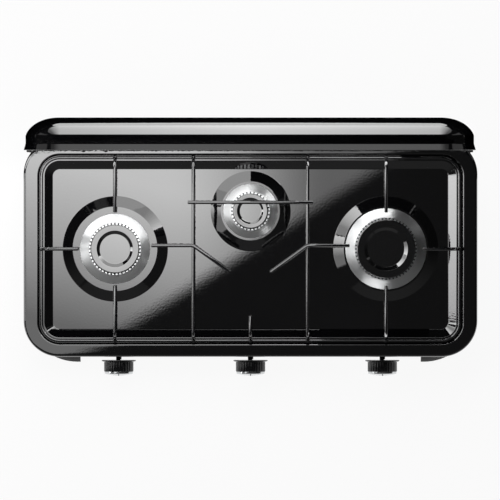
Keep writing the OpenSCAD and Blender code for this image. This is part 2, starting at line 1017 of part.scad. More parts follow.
// Pipes from the taps to the cups
module supply_pipe(x, y) {
    start = y - cup_boss_r + 5;
    end = tap_rear - 4.5;
    translate([x, end, tap_z])
        rotate([-90, 0, 0])
            difference() {
                cylinder(h = start - end, r = pipe_r);
                translate([0, 0, -1])
                    cylinder(h = start - end + 2, r = pipe_r - pipe_wall);
            }
}

module supply_pipes() {
    color(ally) {
        supply_pipe(-knob_x, burner_y);
        supply_pipe(0, middle_burner_y);
        supply_pipe(knob_x, burner_y);
    }
}

// Mixing cup that hangs under a boss and holds the injector
module cup(x, y, cap_r, pipe_x) {
    top = boss_top - plate_t;
    low = tap_z + cup_drop;
    hole = hole_r(cap_r);
    profile = [
        [0, tap_z - 7],
        [cup_boss_r, tap_z - 7],
        [cup_boss_r, low],
        [hole - cup_lip + cup_wall, low],
        [hole - cup_lip + cup_wall, top - flange_h],
        [hole + cup_flange, top - flange_h],
        [hole + cup_flange, top],
        [hole - cup_lip, top],
        [hole - cup_lip, low + 3],
        [0, low + 3]
    ];
    color(ally)
        difference() {
            translate([x, y, 0])
                rotate_extrude()
                    polygon(profile);
            translate([x, y, tap_z])
                cylinder(h = 20, r = jet_r + fit);
            translate([pipe_x, y - cup_boss_r - 1, tap_z])
                rotate([-90, 0, 0])
                    cylinder(h = 7, r = pipe_r + fit);
            translate([pipe_x, y - cup_boss_r, tap_z])
                rotate([-90, 0, 0])
                    cylinder(h = cup_boss_r, r = port_r);
            for (s = sides)
                translate([x + s * cup_screw_at(cap_r), y, top - flange_h - 1])
                    cylinder(h = flange_h + 2, r = small_screw + fit);
        }
}

module left_cup() {
    cup(-burner_x, burner_y, left_cap_r, -knob_x);
}

module middle_cup() {
    cup(0, middle_burner_y, middle_cap_r, 0);
}

module right_cup() {
    cup(burner_x, burner_y, right_cap_r, knob_x);
}

// Screws that hold the cups under the bosses
module cup_screw_pair(x, y, cap_r) {
    top = boss_top - plate_t - flange_h;
    for (s = sides)
        translate([x + s * cup_screw_at(cap_r), y, 0]) {
            translate([0, 0, top - 2])
                cylinder(h = 2, r = 2 * small_screw);
            translate([0, 0, top - 0.1])
                cylinder(h = flange_h + plate_t, r = small_screw);
        }
}

module cup_screws() {
    color(steel) {
        cup_screw_pair(-burner_x, burner_y, left_cap_r);
        cup_screw_pair(0, middle_burner_y, middle_cap_r);
        cup_screw_pair(burner_x, burner_y, right_cap_r);
    }
}

// Injectors with their gas holes
module injector(x, y) {
    translate([x, y, tap_z + fit])
        difference() {
            cylinder(h = jet_h, r = jet_r);
            translate([0, 0, -1])
                cylinder(h = jet_h - 1, r = 1.5);
            cylinder(h = jet_h + 1, r = 0.5);
        }
}

module injectors() {
    color(brass) {
        injector(-burner_x, burner_y);
        injector(0, middle_burner_y);
        injector(burner_x, burner_y);
    }
}

// Burner head: a cone with a slotted crown and a spigot into the cup
module head(x, y, head_r, cap_r) {
    crown = cap_r + crown_lip;
    slots = floor(2 * PI * crown / slot_pitch);
    profile = [
        [spigot_r - spigot_t, -spigot_h],
        [spigot_r, -spigot_h],
        [spigot_r, 0],
        [head_r, 0],
        [head_r, head_edge],
        [crown + 1.5, cone_h],
        [crown, cone_h + 0.8],
        [crown, head_h],
        [crown - crown_t, head_h],
        [crown - crown_t, head_floor],
        [spigot_r - spigot_t, head_floor]
    ];
    color(ally)
        translate([x, y, boss_top])
            difference() {
                rotate_extrude()
                    polygon(profile);
                for (i = [0 : slots - 1])
                    rotate([0, 0, i * 360 / slots])
                        translate([crown - crown_t - 1, -slot_w / 2, cone_h + 2])
                            cube([crown_t + 2, slot_w, head_h]);
            }
}

module left_head() {
    head(-burner_x, burner_y, left_head_r, left_cap_r);
}

module middle_head() {
    head(0, middle_burner_y, middle_head_r, middle_cap_r);
}

module right_head() {
    head(burner_x, burner_y, right_head_r, right_cap_r);
}

// Enamelled cap with a shallow dish, located inside the crown
module cap(x, y, cap_r) {
    inner = cap_r + crown_lip - crown_t - pass;
    dish = cap_r * 0.74;
    floor_r = cap_r * 0.62;
    profile = [
        [0, 0.5],
        [inner - 3, 0.5],
        [inner - 3, -2.5],
        [inner, -2.5],
        [inner, 0],
        [cap_r, 0],
        [cap_r, cap_t - 1.6],
        [cap_r - 0.6, cap_t - 0.5],
        [cap_r - 1.8, cap_t],
        [dish, cap_t - 0.3],
        [floor_r, cap_t - 2.6],
        [0, cap_t - 2.6]
    ];
    color(enamel)
        translate([x, y, boss_top + head_h])
            rotate_extrude()
                polygon(profile);
}

module left_cap() {
    cap(-burner_x, burner_y, left_cap_r);
}

module middle_cap() {
    cap(0, middle_burner_y, middle_cap_r);
}

module right_cap() {
    cap(burner_x, burner_y, right_cap_r);
}

// Base leaf of a hinge: two ears, a rounded nose on each and a heel that stops the lid
module hinge_base(x) {
    color(enamel)
        translate([x, 0, 0])
            difference() {
                union() {
                    translate([-hinge_w / 2, leaf_front + ear_w / 2, rim_top])
                        cube([hinge_w, leaf_rear - leaf_front - ear_w / 2, leaf_t]);
                    for (s = sides)
                        translate([s * (hinge_w - ear_w) / 2, 0, 0]) {
                            translate([-ear_w / 2, hinge_y - knuckle_r, rim_top])
                                cube([ear_w, 2 * knuckle_r, hinge_z - rim_top]);
                            translate([-ear_w / 2, hinge_y, hinge_z])
                                rotate([0, 90, 0])
                                    cylinder(h = ear_w, r = knuckle_r);
                            translate([0, leaf_front + ear_w / 2, rim_top])
                                cylinder(h = 2 * leaf_t, r = ear_w / 2);
                            translate([-ear_w / 2, heel_y, rim_top])
                                cube([ear_w, leaf_rear - heel_y, heel_top - rim_top]);
                        }
                }
                translate([-hinge_w, hinge_y, hinge_z])
                    rotate([0, 90, 0])
                        cylinder(h = 2 * hinge_w, r = pin_r + fit / 2);
                for (s = sides)
                    translate([s * mid_knuckle / 4, hinge_y - 6, rim_top])
                        cylinder(h = 4 * leaf_t, r = small_screw + fit, center = true);
            }
}

module hinge_base_left() {
    hinge_base(-hinge_x);
}

module hinge_base_right() {
    hinge_base(hinge_x);
}

module hinge_pins() {
    color(steel)
        for (s = sides)
            translate([s * hinge_x - hinge_w / 2, hinge_y, hinge_z])
                rotate([0, 90, 0])
                    cylinder(h = hinge_w, r = pin_r);
}

module hinge_screw_places() {
    for (s = sides, k = sides)
        translate([s * hinge_x + k * mid_knuckle / 4, hinge_y - 6, rim_top])
            children();
}

module hinge_screws() {
    color(steel)
        hinge_screw_places() {
            translate([0, 0, leaf_t])
                cylinder(h = hinge_screw_head, r = 1.8 * small_screw);
            translate([0, 0, -hinge_screw_h])
                cylinder(h = hinge_screw_h + screw_lap + leaf_t, r = small_screw);
        }
}

// Cross-section of the lid's lip, wall and crown, for its outer face or its inner face
function lid_line(t) =
    let (lean = lip_flare / lip_h)
    concat(
        [[lid_r - t, lip_z], [wall_r - t, lip_z + lip_h + t * lean / 2]],
        [for (i = [0 : crown_steps])
            let (q = crown_start + (90 - crown_start) * i / crown_steps)
            [
                wall_r - crown_a + (crown_a - t) * cos(q) / cos(crown_start),
                lip_z + lid_wall + (crown_b - t) * (sin(q) - sin(crown_start)) / (1 - sin(crown_start))
            ]]
    );

// Lid pressing, open below, with notches over the hinges
module lid_shell() {
    panel_in = 2 * (lip_flare + crown_a);
    color(enamel)
        opened()
            difference() {
                translate([0, lid_y, 0]) {
                    around(lid_w, lid_d, lid_r)
                        polygon(concat(lid_line(0), reversed(lid_line(lid_t))));
                    translate([0, 0, lip_z + lid_depth - lid_t])
                        linear_extrude(height = lid_t)
                            round_rect(lid_w - panel_in, lid_d - panel_in, lid_r - panel_in / 2);
                }
                for (s = sides) {
                    translate([s * hinge_x - hinge_w / 2 - 1, hinge_y, lip_z - 1])
                        cube([hinge_w + 2, lid_rear + 2, notch_h + 1]);
                    for (k = sides)
                        translate([s * hinge_x + k * mid_knuckle / 4, wall_out, rivet_z])
                            rotate([90, 0, 0])
                                cylinder(h = 6 * lid_t, r = rivet_r + fit, center = true);
                }
            }
}

// Lid leaf of a hinge: a knuckle with a strap on the lid's rear wall
module lid_leaf(x) {
    color(steel)
        opened()
            translate([x, 0, 0])
                difference() {
                    union() {
                        translate([-mid_knuckle / 2, hinge_y, hinge_z])
                            rotate([0, 90, 0])
                                cylinder(h = mid_knuckle, r = knuckle_r);
                        translate([-mid_knuckle / 2, wall_in - leaf_t, hinge_z])
                            cube([mid_knuckle, leaf_t, lip_z + lid_wall - hinge_z]);
                    }
                    translate([-hinge_w, hinge_y, hinge_z])
                        rotate([0, 90, 0])
                            cylinder(h = 2 * hinge_w, r = pin_r + fit);
                    for (k = sides)
                        translate([k * mid_knuckle / 4, wall_in, rivet_z])
                            rotate([90, 0, 0])
                                cylinder(h = 4 * leaf_t, r = rivet_r + fit, center = true);
                }
}

module lid_leaf_left() {
    lid_leaf(-hinge_x);
}

module lid_leaf_right() {
    lid_leaf(hinge_x);
}

module lid_rivets() {
    reach = leaf_t + lid_t;
    color(steel)
        opened()
            for (s = sides, k = sides)
                translate([s * hinge_x + k * mid_knuckle / 4, wall_out, rivet_z])
                    rotate([90, 0, 0]) {
                        translate([0, 0, -1])
                            cylinder(h = 1, r = rivet_r + 0.9);
                        translate([0, 0, -0.1])
                            cylinder(h = reach + 0.2, r = rivet_r);
                        translate([0, 0, reach])
                            cylinder(h = 1, r = rivet_r + 0.9);
                    }
}

// Rubber buffers inside the lid's side walls
module lid_buffers() {
    face = lid_w / 2 - lip_flare - lid_t - fit;
    color(rubber)
        opened()
            for (s = sides, y = [lid_y - buffer_y, lid_y + buffer_y])
                translate([s * (face - buffer_t / 2), y, 0])
                    translate([-buffer_t / 2, -buffer_l / 2, rim_top + fit])
                        cube([buffer_t, buffer_l, lid_gap + lip_h]);
}

// Perimeter wire of the pan support
module grate_frame() {
    color(enamel)
        translate([0, -recess_shift, frame_z])
            around(frame_w, frame_d, frame_r)
                translate([frame_r, 0])
                    circle(wire_r);
}

// Drop of a leg from a wire at height z, its angle, and the bend's start before the frame wire
function leg_drop(z) = z - frame_z - wire_r;
function leg_angle(z) = even(atan2(leg_drop(z), leg_lean));
function leg_reach(z) = even(knee_r * tan(leg_angle(z) / 2));
function leg_start(z) = even(leg_lean + leg_reach(z));

// Leg that takes a wire at height z down to the frame wire at the origin. The wire comes in
// along Y, and its straight part has the given length
module legged(z, length) {
    translate([0, -leg_start(z), z])
        rotate([0, -90, 0])
            bent_rod(leg_angle(z), knee_r, length, norm([leg_drop(z), leg_lean]) - leg_reach(z));
}

// Finger with its tip at the given distance inside the frame at the point f
module finger(f, turned, reach) {
    translate([f[0], f[1], 0])
        rotate([0, 0, turned])
            legged(pan_z, even(reach - leg_start(pan_z)));
}

// Long wires, cross wire and bent wires, welded where they cross
module grate_wires() {
    v = [elbow_tip_x - carrier_x, elbow_tip_y - elbow_y];
    q = even(atan2(-v[1], -v[0]));
    k = 2 * knee_r;
    reach = even(k * tan(q / 2));
    span = even(frame_d - 2 * leg_start(carrier_z) + bite);
    color(enamel) {
        for (s = [0, 1])
            mirror([s, 0, 0]) {
                translate([carrier_x, -recess_shift, 0])
                    for (m = [0, 1])
                        mirror([0, m, 0])
                            translate([0, even(frame_d / 2), 0])
                                legged(carrier_z, m * span);
                translate([-carrier_x - reach, elbow_y, pan_z])
                    rotate([0, 0, -90])
                        mirror([1, 0, 0])
                            bent_rod(q, k, burner_x - tip_r - carrier_x - reach, norm(v) - reach);
            }
        translate([-carrier_x - 8, cross_y, pan_z])
            rotate([0, 0, -90])
                rod(2 * carrier_x + 16);
    }
}

// Short fingers that reach in from the frame
module grate_fingers() {
    across = frame_w / 2 - burner_x - tip_r;
    color(enamel) {
        for (s = sides) {
            finger([s * burner_x, frame_rear], 0, frame_rear - burner_y - tip_r);
            finger([s * burner_x, frame_front], 180, burner_y - tip_r - frame_front);
            finger([s * frame_w / 2, burner_y], -90 * s, across);
        }
        finger([0, frame_front], 180, leg_lean + front_finger);
    }
}

top_plate();
base_tray();
tray_posts();
tray_screws();
foot_front_left();
foot_front_right();
foot_rear_left();
foot_rear_right();
foot_pads();
foot_screws();
gas_rail();
rail_plug();
rail_elbow();
rail_brackets();
inlet_pipe();
hose_tail();
hose_nut();
left_tap_body();
middle_tap_body();
right_tap_body();
tap_bonnets();
supply_pipes();
left_cup();
middle_cup();
right_cup();
cup_screws();
injectors();
left_head();
middle_head();
right_head();
left_cap();
middle_cap();
right_cap();
hinge_base_left();
hinge_base_right();
hinge_pins();
hinge_screws();
lid_shell();
lid_leaf_left();
lid_leaf_right();
lid_rivets();
lid_buffers();
left_plug();
middle_plug();
right_plug();
left_spring();
middle_spring();
right_spring();
left_spindle();
middle_spindle();
right_spindle();
left_knob();
middle_knob();
right_knob();
left_knob_cap();
middle_knob_cap();
right_knob_cap();
grate_frame();
grate_wires();
grate_fingers();
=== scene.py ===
# %% [markdown]
# # A tabletop gas hob, dressed for its portrait
#
# The imported model gives every piece of the hob its exact place. This lesson dresses that model:
# the pieces that show are modelled again with smooth bends, and every surface gets a finish.
# It starts by loading the model as a fixed frame.

# %% Load the frame
import json
import math

import bmesh
import bpy
from mathutils import Matrix, Vector

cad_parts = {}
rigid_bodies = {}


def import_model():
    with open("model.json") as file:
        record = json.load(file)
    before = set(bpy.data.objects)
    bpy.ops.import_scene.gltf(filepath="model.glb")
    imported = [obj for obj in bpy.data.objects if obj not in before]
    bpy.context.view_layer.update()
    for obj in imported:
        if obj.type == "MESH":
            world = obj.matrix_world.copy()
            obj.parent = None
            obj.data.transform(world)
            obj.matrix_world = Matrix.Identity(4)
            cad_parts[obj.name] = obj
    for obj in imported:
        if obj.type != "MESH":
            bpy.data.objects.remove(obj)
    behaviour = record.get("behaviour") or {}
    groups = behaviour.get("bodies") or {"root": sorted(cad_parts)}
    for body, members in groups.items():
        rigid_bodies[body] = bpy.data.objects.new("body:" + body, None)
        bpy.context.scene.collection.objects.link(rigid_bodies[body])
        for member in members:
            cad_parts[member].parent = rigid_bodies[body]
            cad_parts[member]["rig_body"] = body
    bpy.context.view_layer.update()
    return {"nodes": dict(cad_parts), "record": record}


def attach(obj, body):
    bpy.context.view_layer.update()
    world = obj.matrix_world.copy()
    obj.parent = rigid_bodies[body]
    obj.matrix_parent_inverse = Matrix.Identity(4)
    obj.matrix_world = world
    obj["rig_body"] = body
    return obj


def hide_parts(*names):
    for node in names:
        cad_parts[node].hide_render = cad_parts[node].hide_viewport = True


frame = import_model()
scene = bpy.context.scene
scene.view_settings.view_transform = "Standard"
print("nodes in the frame:", len(frame["nodes"]))

# %% [markdown]
# ## The camera
#
# The photograph looks straight down from far away, so that the upright lid is seen edge on and
# hardly wider than the plate. A long lens from fifteen metres gives that flat look. One photo
# pixel is 1.454 mm at the height of the rim, which sets the lens. The camera stands a little to
# the right of the middle and behind it, and leans back towards the middle.

# %% Place the camera
MM = 0.001
RIM_TOP = 74
DISTANCE = 15000
PHOTO_PIXELS, PIXEL = 500, 1.454
SENSOR = 36

lens = bpy.data.cameras.new("camera")
lens.sensor_width = SENSOR
lens.lens = SENSOR * DISTANCE / (PHOTO_PIXELS * PIXEL)
lens.clip_start = 1
lens.clip_end = 60
camera = bpy.data.objects.new("camera", lens)
scene.collection.objects.link(camera)
scene.camera = camera
aim_x, aim_y, stand_x, stand_y = -0.7, -3.6, 60, 100
camera.location = Vector((stand_x, stand_y, RIM_TOP + DISTANCE)) * MM
camera.rotation_euler = (
    math.atan2(aim_y - stand_y, DISTANCE), math.atan2(stand_x - aim_x, DISTANCE), 0
)
print("lens, mm:", round(lens.lens, 1))

# %% [markdown]
# ## Two helpers for finishes
#
# Colours are written as the hex values that a paint chart or a web page gives, which are sRGB.
# Blender's shaders work in linear light, so one function converts them. A second one adds a node
# to a material: its settings are the node's own properties, and each input is either a plain
# value or the output of another node.

# %% Colour and node helpers
def paint(code):
    parts = [int(code[i : i + 2], 16) / 255 for i in (1, 3, 5)]
    return [c / 12.92 if c <= 0.04045 else ((c + 0.055) / 1.055) ** 2.4 for c in parts] + [1]


def add(tree, kind, inputs, **settings):
    made = tree.nodes.new(kind)
    for name, value in settings.items():
        setattr(made, name, value)
    for name, value in inputs.items():
        if isinstance(value, bpy.types.NodeSocket):
            tree.links.new(value, made.inputs[name])
        else:
            made.inputs[name].default_value = value
    return made


# %% [markdown]
# Every finish starts as an empty material with its Object coordinates. Objects sit at the origin
# here, so those coordinates are metres on the hob, and a pattern whose patches are 2 mm wide has
# a scale of 1 / 0.002. A noise texture seldom leaves the span from 0.3 to 0.7, so that span is
# what gets stretched to a range of gloss. The shader comes last, with plain numbers set on its own
# sockets.

# %% Start of a finish
NOISE_LOW, NOISE_HIGH = 0.3, 0.7


def per_mm(size):
    return 1 / (size * MM)


def start_finish(name):
    finish = bpy.data.materials.new(name)
    finish.use_nodes = True
    finish.node_tree.nodes.clear()
    place = add(finish.node_tree, "ShaderNodeTexCoord", {}).outputs["Object"]
    return finish, finish.node_tree, place


# %% [markdown]
# ## Black vitreous enamel
#
# The plate and the lid are pressed steel, dipped in glass frit and fired. The glass runs smooth,
# so the surface is a black mirror, with a faint orange peel of a few millimetres that frays the
# edge of a reflection. It also pools thicker in places, which shifts the black and the gloss a
# little. The clear coat of the shader stands for the depth of the glass.

# %% Enamel
def fired_enamel(name, dark, light, pool, gloss, peel, peel_depth, coat_gloss, ior=1.6):
    finish, tree, place = start_finish(name)
    pools = add(tree, "ShaderNodeTexNoise", {"Vector": place, "Scale": per_mm(pool)})
    black = add(
        tree, "ShaderNodeMix",
        {"Factor": pools.outputs["Fac"], 6: paint(dark), 7: paint(light)}, data_type="RGBA",
    )
    patches = add(tree, "ShaderNodeTexNoise", {"Vector": place, "Scale": per_mm(pool / 6)})
    shine = add(
        tree, "ShaderNodeMapRange",
        {"Value": patches.outputs["Fac"], "From Min": NOISE_LOW, "From Max": NOISE_HIGH,
         "To Min": gloss[0], "To Max": gloss[1]},
    )
    skin = add(
        tree, "ShaderNodeTexNoise", {"Vector": place, "Scale": per_mm(peel), "Detail": 1.0}
    )
    bump = add(
        tree, "ShaderNodeBump",
        {"Height": skin.outputs["Fac"], "Distance": peel_depth * MM, "Strength": 1.0},
    )
    glass = add(
        tree, "ShaderNodeBsdfPrincipled",
        {"Base Color": black.outputs[2], "Roughness": shine.outputs["Result"],
         "Normal": bump.outputs["Normal"], "Coat Normal": bump.outputs["Normal"],
         "IOR": ior, "Coat Weight": 1.0, "Coat Roughness": coat_gloss, "Coat IOR": ior},
    )
    add(tree, "ShaderNodeOutputMaterial", {"Surface": glass.outputs["BSDF"]})
    print("finish:", name)
    return finish


enamel = fired_enamel(
    "vitreous_enamel_black", "#030304", "#070708", 60, (0.03, 0.06), 3.0, 0.022, 0.02
)

# %% [markdown]
# The wire of the pan support and the burner caps are enamelled as well. On round rod the coat is
# thicker and less even, and on the cast caps it shows a little of the casting below.

# %% Enamel on wire and castings
wire_enamel = fired_enamel(
    "vitreous_enamel_wire", "#08080a", "#101012", 14, (0.08, 0.16), 5, 0.03, 0.05
)
cap_enamel = fired_enamel(
    "vitreous_enamel_cap", "#060607", "#0b0b0c", 22, (0.05, 0.1), 2.2, 0.006, 0.03, ior=1.75
)

# %% [markdown]
# ## Turned metal
#
# A burner head is cast in aluminium and faced on a lathe, and the knobs' front caps are spun and
# satin chromed. The tool leaves rings around the axis, and rings stretch every highlight into a
# fan across them. That is anisotropy: its tangent runs round the axis, and a quarter turn makes
# the stretch go across. Real rings are about 0.2 mm apart, too fine to show here, so they are
# drawn coarser. Wave texture rings repeat every 2 pi / 20 units at a scale of 1.

# %% Turned metal
def turned_metal(name, centre, axis, spacing, dark, light, gloss, stretch):
    finish, tree, place = start_finish(name)
    about = add(
        tree, "ShaderNodeMapping", {"Vector": place, "Location": -Vector(centre) * MM}
    )
    rings = add(
        tree, "ShaderNodeTexWave",
        {"Vector": about.outputs["Vector"], "Scale": 2 * math.pi / 20 * per_mm(spacing),
         "Distortion": 0.5},
        wave_type="RINGS", rings_direction=axis,
    )
    tone = add(
        tree, "ShaderNodeMix",
        {"Factor": rings.outputs["Fac"], 6: paint(dark), 7: paint(light)}, data_type="RGBA",
    )
    patches = add(tree, "ShaderNodeTexNoise", {"Vector": place, "Scale": per_mm(7)})
    shine = add(
        tree, "ShaderNodeMapRange",
        {"Value": patches.outputs["Fac"], "From Min": NOISE_LOW, "From Max": NOISE_HIGH,
         "To Min": gloss[0], "To Max": gloss[1]},
    )
    bump = add(
        tree, "ShaderNodeBump",
        {"Height": rings.outputs["Fac"], "Distance": 0.003 * MM, "Strength": 1.0},
    )
    around = add(tree, "ShaderNodeTangent", {}, direction_type="RADIAL", axis=axis)
    metal = add(
        tree, "ShaderNodeBsdfPrincipled",
        {"Base Color": tone.outputs[2], "Roughness": shine.outputs["Result"],
         "Normal": bump.outputs["Normal"], "Tangent": around.outputs["Tangent"],
         "Metallic": 1.0, "Anisotropic": stretch, "Anisotropic Rotation": 0.25},
    )
    add(tree, "ShaderNodeOutputMaterial", {"Surface": metal.outputs["BSDF"]})
    print("finish:", name)
    return finish


# %% [markdown]
# ## Plated, cast and machined metal
#
# Hinges, screws and spindles are zinc plated steel, the gas fittings are machined brass, and the
# parts of a burner that the lathe doesn't reach stay as cast: dull and grainy. Their grey is also
# painted darker than bare casting, as painted shade deep in the flame slots and inside the crown.
# All three are a metal with fine speckles in its tone and gloss.

# %% Speckled metal
def speckled_metal(name, dark, light, gloss, speckle, depth):
    finish, tree, place = start_finish(name)
    specks = add(
        tree, "ShaderNodeTexNoise", {"Vector": place, "Scale": per_mm(speckle), "Detail": 4.0}
    )
    tone = add(
        tree, "ShaderNodeMix",
        {"Factor": specks.outputs["Fac"], 6: paint(dark), 7: paint(light)}, data_type="RGBA",
    )
    shine = add(
        tree, "ShaderNodeMapRange",
        {"Value": specks.outputs["Fac"], "From Min": NOISE_LOW, "From Max": NOISE_HIGH,
         "To Min": gloss[1], "To Max": gloss[0]},
    )
    bump = add(
        tree, "ShaderNodeBump",
        {"Height": specks.outputs["Fac"], "Distance": depth * MM, "Strength": 1.0},
    )
    metal = add(
        tree, "ShaderNodeBsdfPrincipled",
        {"Base Color": tone.outputs[2], "Roughness": shine.outputs["Result"],
         "Normal": bump.outputs["Normal"], "Metallic": 1.0},
    )
    add(tree, "ShaderNodeOutputMaterial", {"Surface": metal.outputs["BSDF"]})
    print("finish:", name)
    return finish


plated = speckled_metal("zinc_plated_steel", "#84878a", "#b9bcbe", (0.24, 0.4), 1.5, 0.008)
brass = speckled_metal("machined_brass", "#a98641", "#d3b36d", (0.2, 0.36), 4, 0.004)
# The cast finish's darker grey is painted shade for the flame slots and the inside of the crown.
cast_and_shade_finish = speckled_metal("cast_aluminium_with_painted_slot_shade", "#4a4b4d", "#6f7073", (0.5, 0.7), 1.2, 0.04)

# %% [markdown]
# The gas pipes are galvanised: zinc freezes on the steel in flat crystals a few millimetres wide,
# each with its own shade and gloss. A Voronoi texture gives every cell one random colour.

# %% Galvanised steel
galvanised, tree, place = start_finish("galvanised_steel")
crystals = add(tree, "ShaderNodeTexVoronoi", {"Vector": place, "Scale": per_mm(6)})
shade = add(tree, "ShaderNodeSeparateColor", {"Color": crystals.outputs["Color"]})
zinc = add(
    tree, "ShaderNodeMix",
    {"Factor": shade.outputs["Red"], 6: paint("#8b9095"), 7: paint("#b1b6b9")}, data_type="RGBA",
)
shine = add(
    tree, "ShaderNodeMapRange",
    {"Value": shade.outputs["Green"], "To Min": 0.3, "To Max": 0.5},
)
metal = add(
    tree, "ShaderNodeBsdfPrincipled",
    {"Base Color": zinc.outputs[2], "Roughness": shine.outputs["Result"], "Metallic": 1.0},
)
add(tree, "ShaderNodeOutputMaterial", {"Surface": metal.outputs["BSDF"]})
print("finish:", galvanised.name)

# %% [markdown]
# ## Plastics and rubber
#
# The knobs are ABS from a polished mould, the feet are polypropylene from a spark-eroded mould
# with a fine grain, and the pads are soft rubber. What sets them apart from the enamel is their
# softer gloss and the grain of their moulds. The grain on the feet shades itself, so that they
# mirror less than smooth plastic would, and their specular level is lower.

# %% Moulded black
def moulded_black(name, dark, light, gloss, mould_grain, depth, ior, specular=0.5):
    finish, tree, place = start_finish(name)
    flow = add(tree, "ShaderNodeTexNoise", {"Vector": place, "Scale": per_mm(8)})
    tone = add(
        tree, "ShaderNodeMix",
        {"Factor": flow.outputs["Fac"], 6: paint(dark), 7: paint(light)}, data_type="RGBA",
    )
    grain = add(
        tree, "ShaderNodeTexNoise", {"Vector": place, "Scale": per_mm(mould_grain), "Detail": 3.0}
    )
    shine = add(
        tree, "ShaderNodeMapRange",
        {"Value": grain.outputs["Fac"], "From Min": NOISE_LOW, "From Max": NOISE_HIGH,
         "To Min": gloss[0], "To Max": gloss[1]},
    )
    bump = add(
        tree, "ShaderNodeBump",
        {"Height": grain.outputs["Fac"], "Distance": depth * MM, "Strength": 1.0},
    )
    plastic = add(
        tree, "ShaderNodeBsdfPrincipled",
        {"Base Color": tone.outputs[2], "Roughness": shine.outputs["Result"],
         "Normal": bump.outputs["Normal"], "IOR": ior, "Specular IOR Level": specular},
    )
    add(tree, "ShaderNodeOutputMaterial", {"Surface": plastic.outputs["BSDF"]})
    print("finish:", name)
    return finish


knob_abs = moulded_black("moulded_abs", "#08080a", "#101011", (0.1, 0.18), 0.8, 0.003, 1.54)
foot_plastic = moulded_black(
    "moulded_polypropylene", "#0a0a0b", "#111112", (0.62, 0.78), 0.9, 0.03, 1.49, specular=0.2
)
rubber = moulded_black("moulded_rubber", "#151515", "#222222", (0.7, 0.9), 0.7, 0.03, 1.52)

# %% [markdown]
# ## Modelling helpers
#
# Pieces are modelled in millimetres. A pressing starts as the line of its cross-section: a chain
# of edges whose corners are rounded by bevelling their vertices, which is how a bend radius is
# drawn. The chain is then carried along a path, by extruding it along the straight runs and
# spinning it around the corners.

# %% Cross-sections
def bend_length(before, corner, after, radius):
    angle = (corner - before).angle(after - corner)
    return radius * math.tan(angle / 2)


def chain(bm, points, bends, segments=6):
    """An open line in the XZ plane; bends gives a radius for some of its corners."""
    spots = [Vector((x, 0, z)) for x, z in points]
    verts = [bm.verts.new(spot) for spot in spots]
    for pair in zip(verts, verts[1:]):
        bm.edges.new(pair)
    for i, radius in bends.items():
        offset = bend_length(spots[i - 1], spots[i], spots[i + 1], radius)
        bmesh.ops.bevel(
            bm, geom=[verts[i]], offset=offset, offset_type="OFFSET", affect="VERTICES",
            segments=segments, profile=0.5, material=-1,
        )
    return bm.edges[:]


# %% Carrying a cross-section
def run(bm, edges, step):
    """Extrudes edges along a straight step and returns the new edges."""
    grown = bmesh.ops.extrude_edge_only(bm, edges=edges)["geom"]
    verts = [g for g in grown if isinstance(g, bmesh.types.BMVert)]
    bmesh.ops.translate(bm, vec=step, verts=verts)
    fresh = set(verts)
    return [
        g for g in grown
        if isinstance(g, bmesh.types.BMEdge) and g.verts[0] in fresh and g.verts[1] in fresh
    ]


def turn(bm, edges, centre, axis, angle, steps):
    """Spins edges around a corner and returns the last edges."""
    verts = list({v for e in edges for v in e.verts})
    spun = bmesh.ops.spin(
        bm, geom=verts + edges, cent=centre, axis=axis, dvec=(0, 0, 0),
        angle=angle, steps=steps, use_merge=False,
    )
    return [g for g in spun["geom_last"] if isinstance(g, bmesh.types.BMEdge)]


def round_rectangle(bm, edges, half_x, half_y, centre_y, steps, rear_runs=None):
    """Carries a section, drawn outward from a corner's centre, around four round corners."""
    verts = list({v for e in edges for v in e.verts})
    bmesh.ops.translate(bm, vec=(half_x, centre_y - half_y, 0), verts=verts)
    sides = [
        ((0, 1, 0), [2 * half_y], (half_x, half_y)),
        ((-1, 0, 0), rear_runs or [2 * half_x], (-half_x, half_y)),
        ((0, -1, 0), [2 * half_y], (-half_x, -half_y)),
        ((1, 0, 0), [2 * half_x], (half_x, -half_y)),
    ]
    for way, lengths, corner in sides:
        for length in lengths:
            edges = run(bm, edges, Vector(way) * length)
        centre = (corner[0], centre_y + corner[1], 0)
        edges = turn(bm, edges, centre, (0, 0, 1), math.pi / 2, steps)
    bmesh.ops.remove_doubles(bm, verts=bm.verts, dist=0.002)


# %% [markdown]
# A mesh becomes a piece in one place: it is scaled from millimetres to metres, shaded smooth
# with sharp edges kept and attached to the body it rides on, and the nodes of the frame that it
# stands for are hidden. A sheet gets its thickness inwards, and the cut edges are eased with a
# small bevel, because enamel never holds a knife edge.

# %% Finishing a piece
def ease_edges(bm, width, angle=50, segments=2):
    sharp = [
        e for e in bm.edges if e.is_manifold and e.calc_face_angle(0) > math.radians(angle)
    ]
    bmesh.ops.bevel(
        bm, geom=sharp, offset=width, offset_type="OFFSET", affect="EDGES",
        segments=segments, profile=0.5, material=-1, clamp_overlap=True,
    )


def face_up(bm, pick):
    """Turns the faces so that the face chosen by pick looks up."""
    bmesh.ops.recalc_face_normals(bm, faces=bm.faces)
    if pick(bm.faces).normal.z < 0:
        bmesh.ops.reverse_faces(bm, faces=bm.faces)


def piece(name, bm, finish, body, nodes, flats=False, sharp=40):
    bmesh.ops.scale(bm, vec=(MM, MM, MM), verts=bm.verts)
    mesh = bpy.data.meshes.new(name)
    bm.to_mesh(mesh)
    bm.free()
    mesh.shade_smooth()
    mesh.set_sharp_from_angle(angle=math.radians(sharp))
    mesh.materials.append(finish)
    made = bpy.data.objects.new(name, mesh)
    scene.collection.objects.link(made)
    if flats:
        weighted = made.modifiers.new("flat_faces_stay_flat", "WEIGHTED_NORMAL")
        weighted.keep_sharp = True
    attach(made, body)
    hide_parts(*nodes)
    print("piece:", name, "with", len(mesh.polygons), "faces")
    return made


